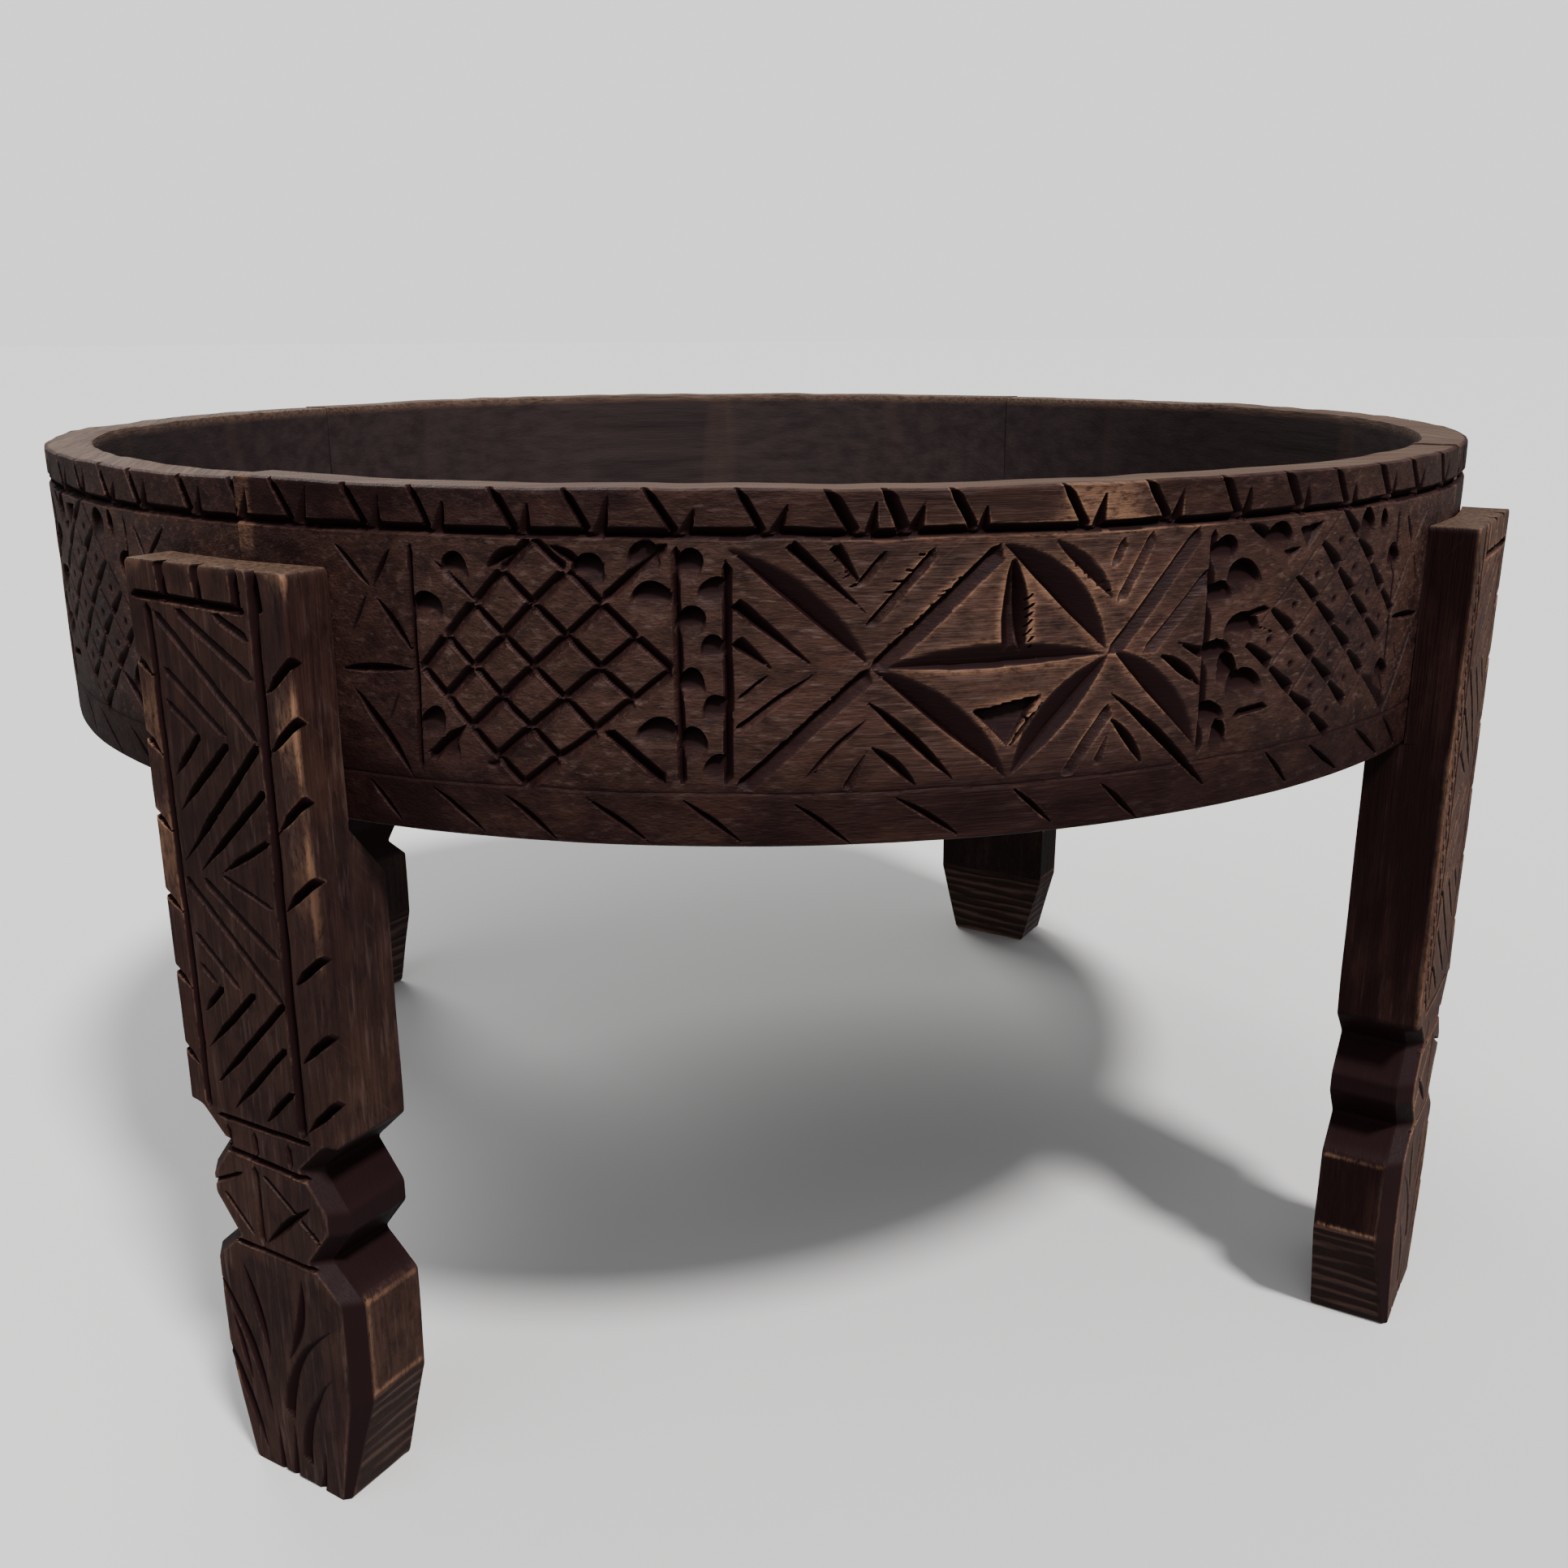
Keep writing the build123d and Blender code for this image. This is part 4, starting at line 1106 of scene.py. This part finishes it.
def carved_wood():
    """Dark stain, deepest in the cuts, where painted shade darkens it to black, with painted shade beside
    the cuts and on the rear legs and painted glints on the faces; rubbed back to brown on the faces and to
    gold on the arrises.
    """
    m = Shader("carved_wood")
    grain = m.layer("grain", "Vector")
    names = ("wear", "rubbed", "shade", "cut", "top", "inside", "sawn")
    wear, rubbed, shade, cut, top, inside, sawn = (m.layer(name) for name in names)
    fibre = m.noise(grain, (60, 1500, 1500), detail=3)
    line = m.noise(grain, (9, 620, 620), detail=3, offset=3.1)
    streak = m.noise(grain, (8, 150, 150), detail=5, offset=5.1)
    patch = m.noise(grain, (16, 26, 26), detail=3, offset=11.3)
    cloud = m.noise(grain, (55, 85, 85), detail=5, roughness=0.6, offset=7.7)
    rub = m.noise(grain, (230, 640, 640), detail=5, roughness=0.7, offset=17.9)
    spread = m.noise(grain, (22, 30, 30), detail=3, offset=23.4)
    scratch = m.noise(grain, (35, 900, 900), detail=2, offset=31.0, turn=0.7)
    # the stained face, with a deeper stain and painted shade laid over it
    base = m.mix(m.span(streak, 0.40, 0.61), FACE_DARK, FACE_LIGHT)
    warm = m.noise(grain, (14, 95, 95), detail=4, offset=41.0)
    base = m.stained(base, (
        (warm, 0.5, 0.68, 0.7, FACE_RED),
        (patch, 0.42, 0.66, 0.5, FACE_BROWN),
        (spread, 0.52, 0.66, 0.4, FACE_BROWN),
    ))
    brown = m.times(rubbed, m.span(cloud, 0.36, 0.62), clamp=True)
    base = m.mix(m.times(brown, 0.85), base, FACE_BROWN)
    base = m.stained(base, ((line, 0.5, 0.66, 0.5, FACE_DARK), (cloud, 0.48, 0.66, 0.7, FACE_DARK)))
    # painted glints: fine light streaks on the faces in place of specular highlights
    painted_glint = m.noise(grain, (40, 460, 460), detail=4, roughness=0.6, offset=51.0)
    base = m.mix(m.times(m.span(painted_glint, 0.54, 0.70), m.span(patch, 0.35, 0.6, 0.35, 0.9)), base, FACE_PAINTED_GLINT)
    # deeper stain, and painted shade: crease shade beside the cuts, and the ring's shadow on the rear legs
    base = m.mix(m.times(shade, m.span(warm, 0.48, 0.66, 0.97, 0.7)), base, DEEP_STAIN_AND_SHADE)
    # what is rubbed off: arrises, and fine scratches across the grain
    lifted = m.plus(rub, m.times(wear, 0.15))
    bright = m.times(wear, m.span(lifted, 0.42, 0.64), clamp=True)
    bright = m.times(bright, m.span(spread, 0.34, 0.6, 0.3, 1.0))
    worn = m.mix(m.span(wear, 0.22, 0.6), RUBBED_PINK, GOLDEN_BROWN)
    base = m.mix(m.times(bright, 0.95, clamp=True), base, worn)
    scratched = m.times(m.span(scratch, 0.64, 0.72), m.span(shade, 0, 0.8, 0.16, 0.03))
    base = m.mix(scratched, base, SCRATCHED)
    # the marks of the saw: uneven lines across the grain
    height = m.node("ShaderNodeSeparateXYZ", {"Vector": grain}).outputs[0]
    wander = m.noise(grain, (60, 10, 10), detail=2, offset=5)
    uneven = m.noise(grain, (190, 26, 26), detail=3, roughness=0.6, offset=9)
    strokes = m.math("SINE", m.plus(m.times(height, 980), m.times(wander, 14)))
    kerfs = m.plus(m.times(strokes, 0.5), m.times(uneven, 2.4))
    base = m.mix(m.times(sawn, 0.8), base, SAWN_DARK)
    base = m.mix(m.times(sawn, m.span(kerfs, 1.25, 1.85, 0, 0.9)), base, SAWN_BROWN)
    # the inside of the ring
    wall = m.mix(m.span(streak, 0.3, 0.7), WALL_DARK, WALL_LIGHT)
    upright = m.noise(grain, (26, 26, 3), detail=3, offset=13.7)
    wall = m.mix(m.span(upright, 0.54, 0.72, 0, 0.6), wall, WALL_BROWN)
    base = m.mix(m.times(inside, 0.95), base, wall)
    # the cuts: a purple stain, darkened towards a painted shade black where they are deep; and the dusty
    # upward faces
    stain = m.mix(m.span(cut, 0.5, 3.0), CUT_PURPLE, CUT_SHADE_BLACK)
    base = m.mix(m.span(cut, 0.12, 0.55), base, stain)
    dusty = m.mix(m.span(line, 0.35, 0.65), DUSTY_DARK, DUSTY_LIGHT)
    base = m.mix(m.times(top, m.span(patch, 0.2, 0.7, 0.6, 0.95)), base, dusty)
    dull = m.span(m.plus(streak, m.times(fibre, 0.5)), 0.4, 1.1, 0.42, 0.7)
    relief = m.plus(m.times(fibre, 0.6), m.times(line, 0.6))
    relief = m.plus(relief, m.times(m.plus(cloud, streak), 0.6))
    relief = m.plus(relief, m.times(kerfs, sawn))
    smooth = m.math("MAXIMUM", m.span(cut, 0.2, 0.6, 0, 0.65), m.times(inside, 0.6))
    bumps = m.bump(relief, m.span(smooth, 0, 1, 0.6, 0.0), WOOD_BUMP)
    shine = m.times(m.span(cut, 0.1, 1.0, 0.18, 0.07), m.span(shade, 0, 1, 1, 0.6))
    return m.finish(base, dull, bumps, **{SHINE: shine})


def plain_wood(name, dark, light, grain_axis):
    """Stained wood for the boards and battens, with its grain along one axis of the object. The layers tone
    and wear say how light each piece is and where its arrises are rubbed."""
    m = Shader(name)
    place = m.node("ShaderNodeTexCoord").outputs["Object"]
    tone, wear = m.layer("tone"), m.layer("wear")

    def along(fine, across, **settings):
        """Noise drawn out along the grain."""
        stretch = [across] * 3
        stretch[grain_axis] = fine
        return m.noise(place, stretch, **settings)

    streak = along(9, 230, detail=5)
    fibre = along(54, 1400, detail=3, offset=2.2)
    figure = along(1.6, 11, detail=2, offset=8.8)
    rings = m.math("SINE", m.times(figure, 95))
    patch = m.noise(place, (11, 11, 11), detail=3, offset=5.4)
    spots = m.noise(place, (130, 130, 130), detail=4, offset=1.4)
    base = m.mix(m.span(streak, 0.32, 0.7), dark, light)
    base = m.stained(base, (
        (rings, 0.1, 1.0, 0.45, dark), (patch, 0.45, 0.7, 0.5, dark), (spots, 0.62, 0.72, 0.5, dark),
    ))
    base = m.mix(m.times(tone, 0.6), base, light)
    rubbed = m.times(wear, m.span(streak, 0.4, 0.6, 0.2, 0.8), clamp=True)
    base = m.mix(rubbed, base, tuple(2.2 * value for value in light[:3]) + (1,))
    dull = m.span(fibre, 0.3, 0.7, 0.5, 0.75)
    relief = m.plus(m.times(fibre, 0.5), m.plus(streak, m.times(rings, 0.15)))
    return m.finish(base, dull, m.bump(relief, 0.5, BOARD_BUMP), **{SHINE: 0.2})


def old_metal(name, dark, light):
    """Blackened or browned iron."""
    m = Shader(name)
    place = m.node("ShaderNodeTexCoord").outputs["Object"]
    spots = m.noise(place, (400, 400, 400), detail=5)
    colour = m.mix(m.span(spots, 0.4, 0.65), dark, light)
    dull = m.span(spots, 0.3, 0.7, 0.35, 0.7)
    return m.finish(colour, dull, m.bump(spots, 0.3, METAL_BUMP), Metallic=0.85)


def repaint(node, material):
    """Gives a CAD node that stays a better material."""
    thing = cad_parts[node]
    if not thing.material_slots:
        thing.data.materials.append(material)
    for held in thing.material_slots:
        held.link = "OBJECT"
        held.material = material


# --- stage ----------------------------------------------------------------------------------------

# The camera stands this far from the ring's axis and this high, at an azimuth counted from -Y towards +X,
# and looks down by the pitch and to its right by the yaw.
CAMERA_AZIMUTH = -12.88
CAMERA_DISTANCE = 0.8497
CAMERA_HEIGHT = 0.4622
CAMERA_PITCH = 16.63
CAMERA_YAW = 0.80
CAMERA_ROLL = -0.18
CAMERA_LENS = 35.45
SENSOR = 36.0
FLOOR_REACH = 40.0
FLOOR_GREY = (0.88, 0.88, 0.88, 1)
WHITE = (1, 1, 1, 1)
SKY_STRENGTH = 0.33
BACKDROP_STRENGTH = 1.35  # makes the backdrop as bright as the floor


def place_camera():
    azimuth, pitch, yaw = radians(CAMERA_AZIMUTH), radians(CAMERA_PITCH), radians(CAMERA_YAW)
    to_right = Vector((cos(azimuth), sin(azimuth), 0))
    ahead = Vector((-sin(azimuth), cos(azimuth), 0))
    level = ahead * cos(yaw) + to_right * sin(yaw)
    view = level * cos(pitch) - Vector((0, 0, sin(pitch)))
    data = bpy.data.cameras.new("camera")
    data.lens = CAMERA_LENS
    data.sensor_width = SENSOR
    data.clip_end = 100
    camera = placed("camera", data)
    turn = view.to_track_quat("-Z", "Y").to_matrix().to_4x4()
    place = Matrix.Translation(-ahead * CAMERA_DISTANCE + Vector((0, 0, CAMERA_HEIGHT)))
    camera.matrix_world = place @ turn @ Matrix.Rotation(radians(CAMERA_ROLL), 4, "Z")
    bpy.context.scene.camera = camera


def add_floor():
    """A pale floor. It throws no light back up, so that the dark wood keeps its contrast."""
    mesh = bpy.data.meshes.new("floor")
    corners = [(x * FLOOR_REACH, y * FLOOR_REACH, 0) for x, y in ((-1, -1), (1, -1), (1, 1), (-1, 1))]
    mesh.from_pydata(corners, [], [(0, 1, 2, 3)])
    floor = placed("floor", mesh)
    m = Shader("floor")
    m.surface.inputs["Base Color"].default_value = FLOOR_GREY
    m.surface.inputs["Roughness"].default_value = 0.9
    mesh.materials.append(m.material)
    floor.visible_diffuse = False
    floor.visible_glossy = False


def add_light(name, azimuth, elevation, strength, softness, colour):
    """A distant soft light. Its azimuth is counted from -Y towards +X, in degrees."""
    data = bpy.data.lights.new(name, "SUN")
    data.energy = strength
    data.angle = radians(softness)
    data.color = colour
    light = placed(name, data)
    a, e = radians(azimuth), radians(elevation)
    towards = Vector((sin(a) * cos(e), -cos(a) * cos(e), sin(e)))
    light.rotation_euler = towards.to_track_quat("Z", "Y").to_euler()


def add_lights():
    add_light("key", 18, 58, 3.55, 8, (1.0, 0.97, 0.95))
    add_light("fill", -50, 48, 0.65, 50, (1.0, 0.98, 1.0))
    add_light("back", 195, 45, 1.1, 25, (1.0, 0.99, 0.97))
    world = bpy.data.worlds.new("world")
    world.use_nodes = True
    nodes, links = world.node_tree.nodes, world.node_tree.links
    # one background for the light, and another for what the camera sees
    backdrop = nodes.new("ShaderNodeBackground")
    for background, strength in ((nodes["Background"], SKY_STRENGTH), (backdrop, BACKDROP_STRENGTH)):
        background.inputs["Color"].default_value = WHITE
        background.inputs["Strength"].default_value = strength
    chosen = nodes.new("ShaderNodeMixShader")
    links.new(nodes.new("ShaderNodeLightPath").outputs["Is Camera Ray"], chosen.inputs[0])
    links.new(nodes["Background"].outputs[0], chosen.inputs[1])
    links.new(backdrop.outputs[0], chosen.inputs[2])
    links.new(chosen.outputs[0], nodes["World Output"].inputs["Surface"])
    bpy.context.scene.world = world


place_camera()
add_floor()
add_lights()

wood = carved_wood()
for number, (side, corner) in enumerate(SEGMENTS.items()):
    ring_segment(side, corner, 100 + 37 * number, wood)
for number, corner in enumerate(CORNERS):
    plank_leg(corner, 500 + 41 * number, wood)

board_wood = plain_wood("board_wood", (0.014, 0.0105, 0.010, 1), (0.046, 0.031, 0.024, 1), 1)
batten_wood = plain_wood("batten_wood", (0.018, 0.012, 0.010, 1), (0.060, 0.038, 0.026, 1), 0)
dowel_wood = plain_wood("dowel_wood", (0.16, 0.10, 0.055, 1), (0.33, 0.22, 0.12, 1), 0)
screw_metal = old_metal("screw_metal", (0.02, 0.018, 0.017, 1), (0.09, 0.075, 0.06, 1))
nail_metal = old_metal("nail_metal", (0.025, 0.018, 0.014, 1), (0.12, 0.07, 0.04, 1))
for number in range(1, 6):
    plank(f"floor_board_{number}", board_wood, 700 + 13 * number, True)
plank("floor_batten_front", batten_wood, 801, False)
plank("floor_batten_rear", batten_wood, 823, False)
for corner in CORNERS:
    repaint(f"joint_dowels_{corner}", dowel_wood)
    add_screws(corner, 900 + int(radians(CORNERS[corner][0])), screw_metal)
add_nails(nail_metal)
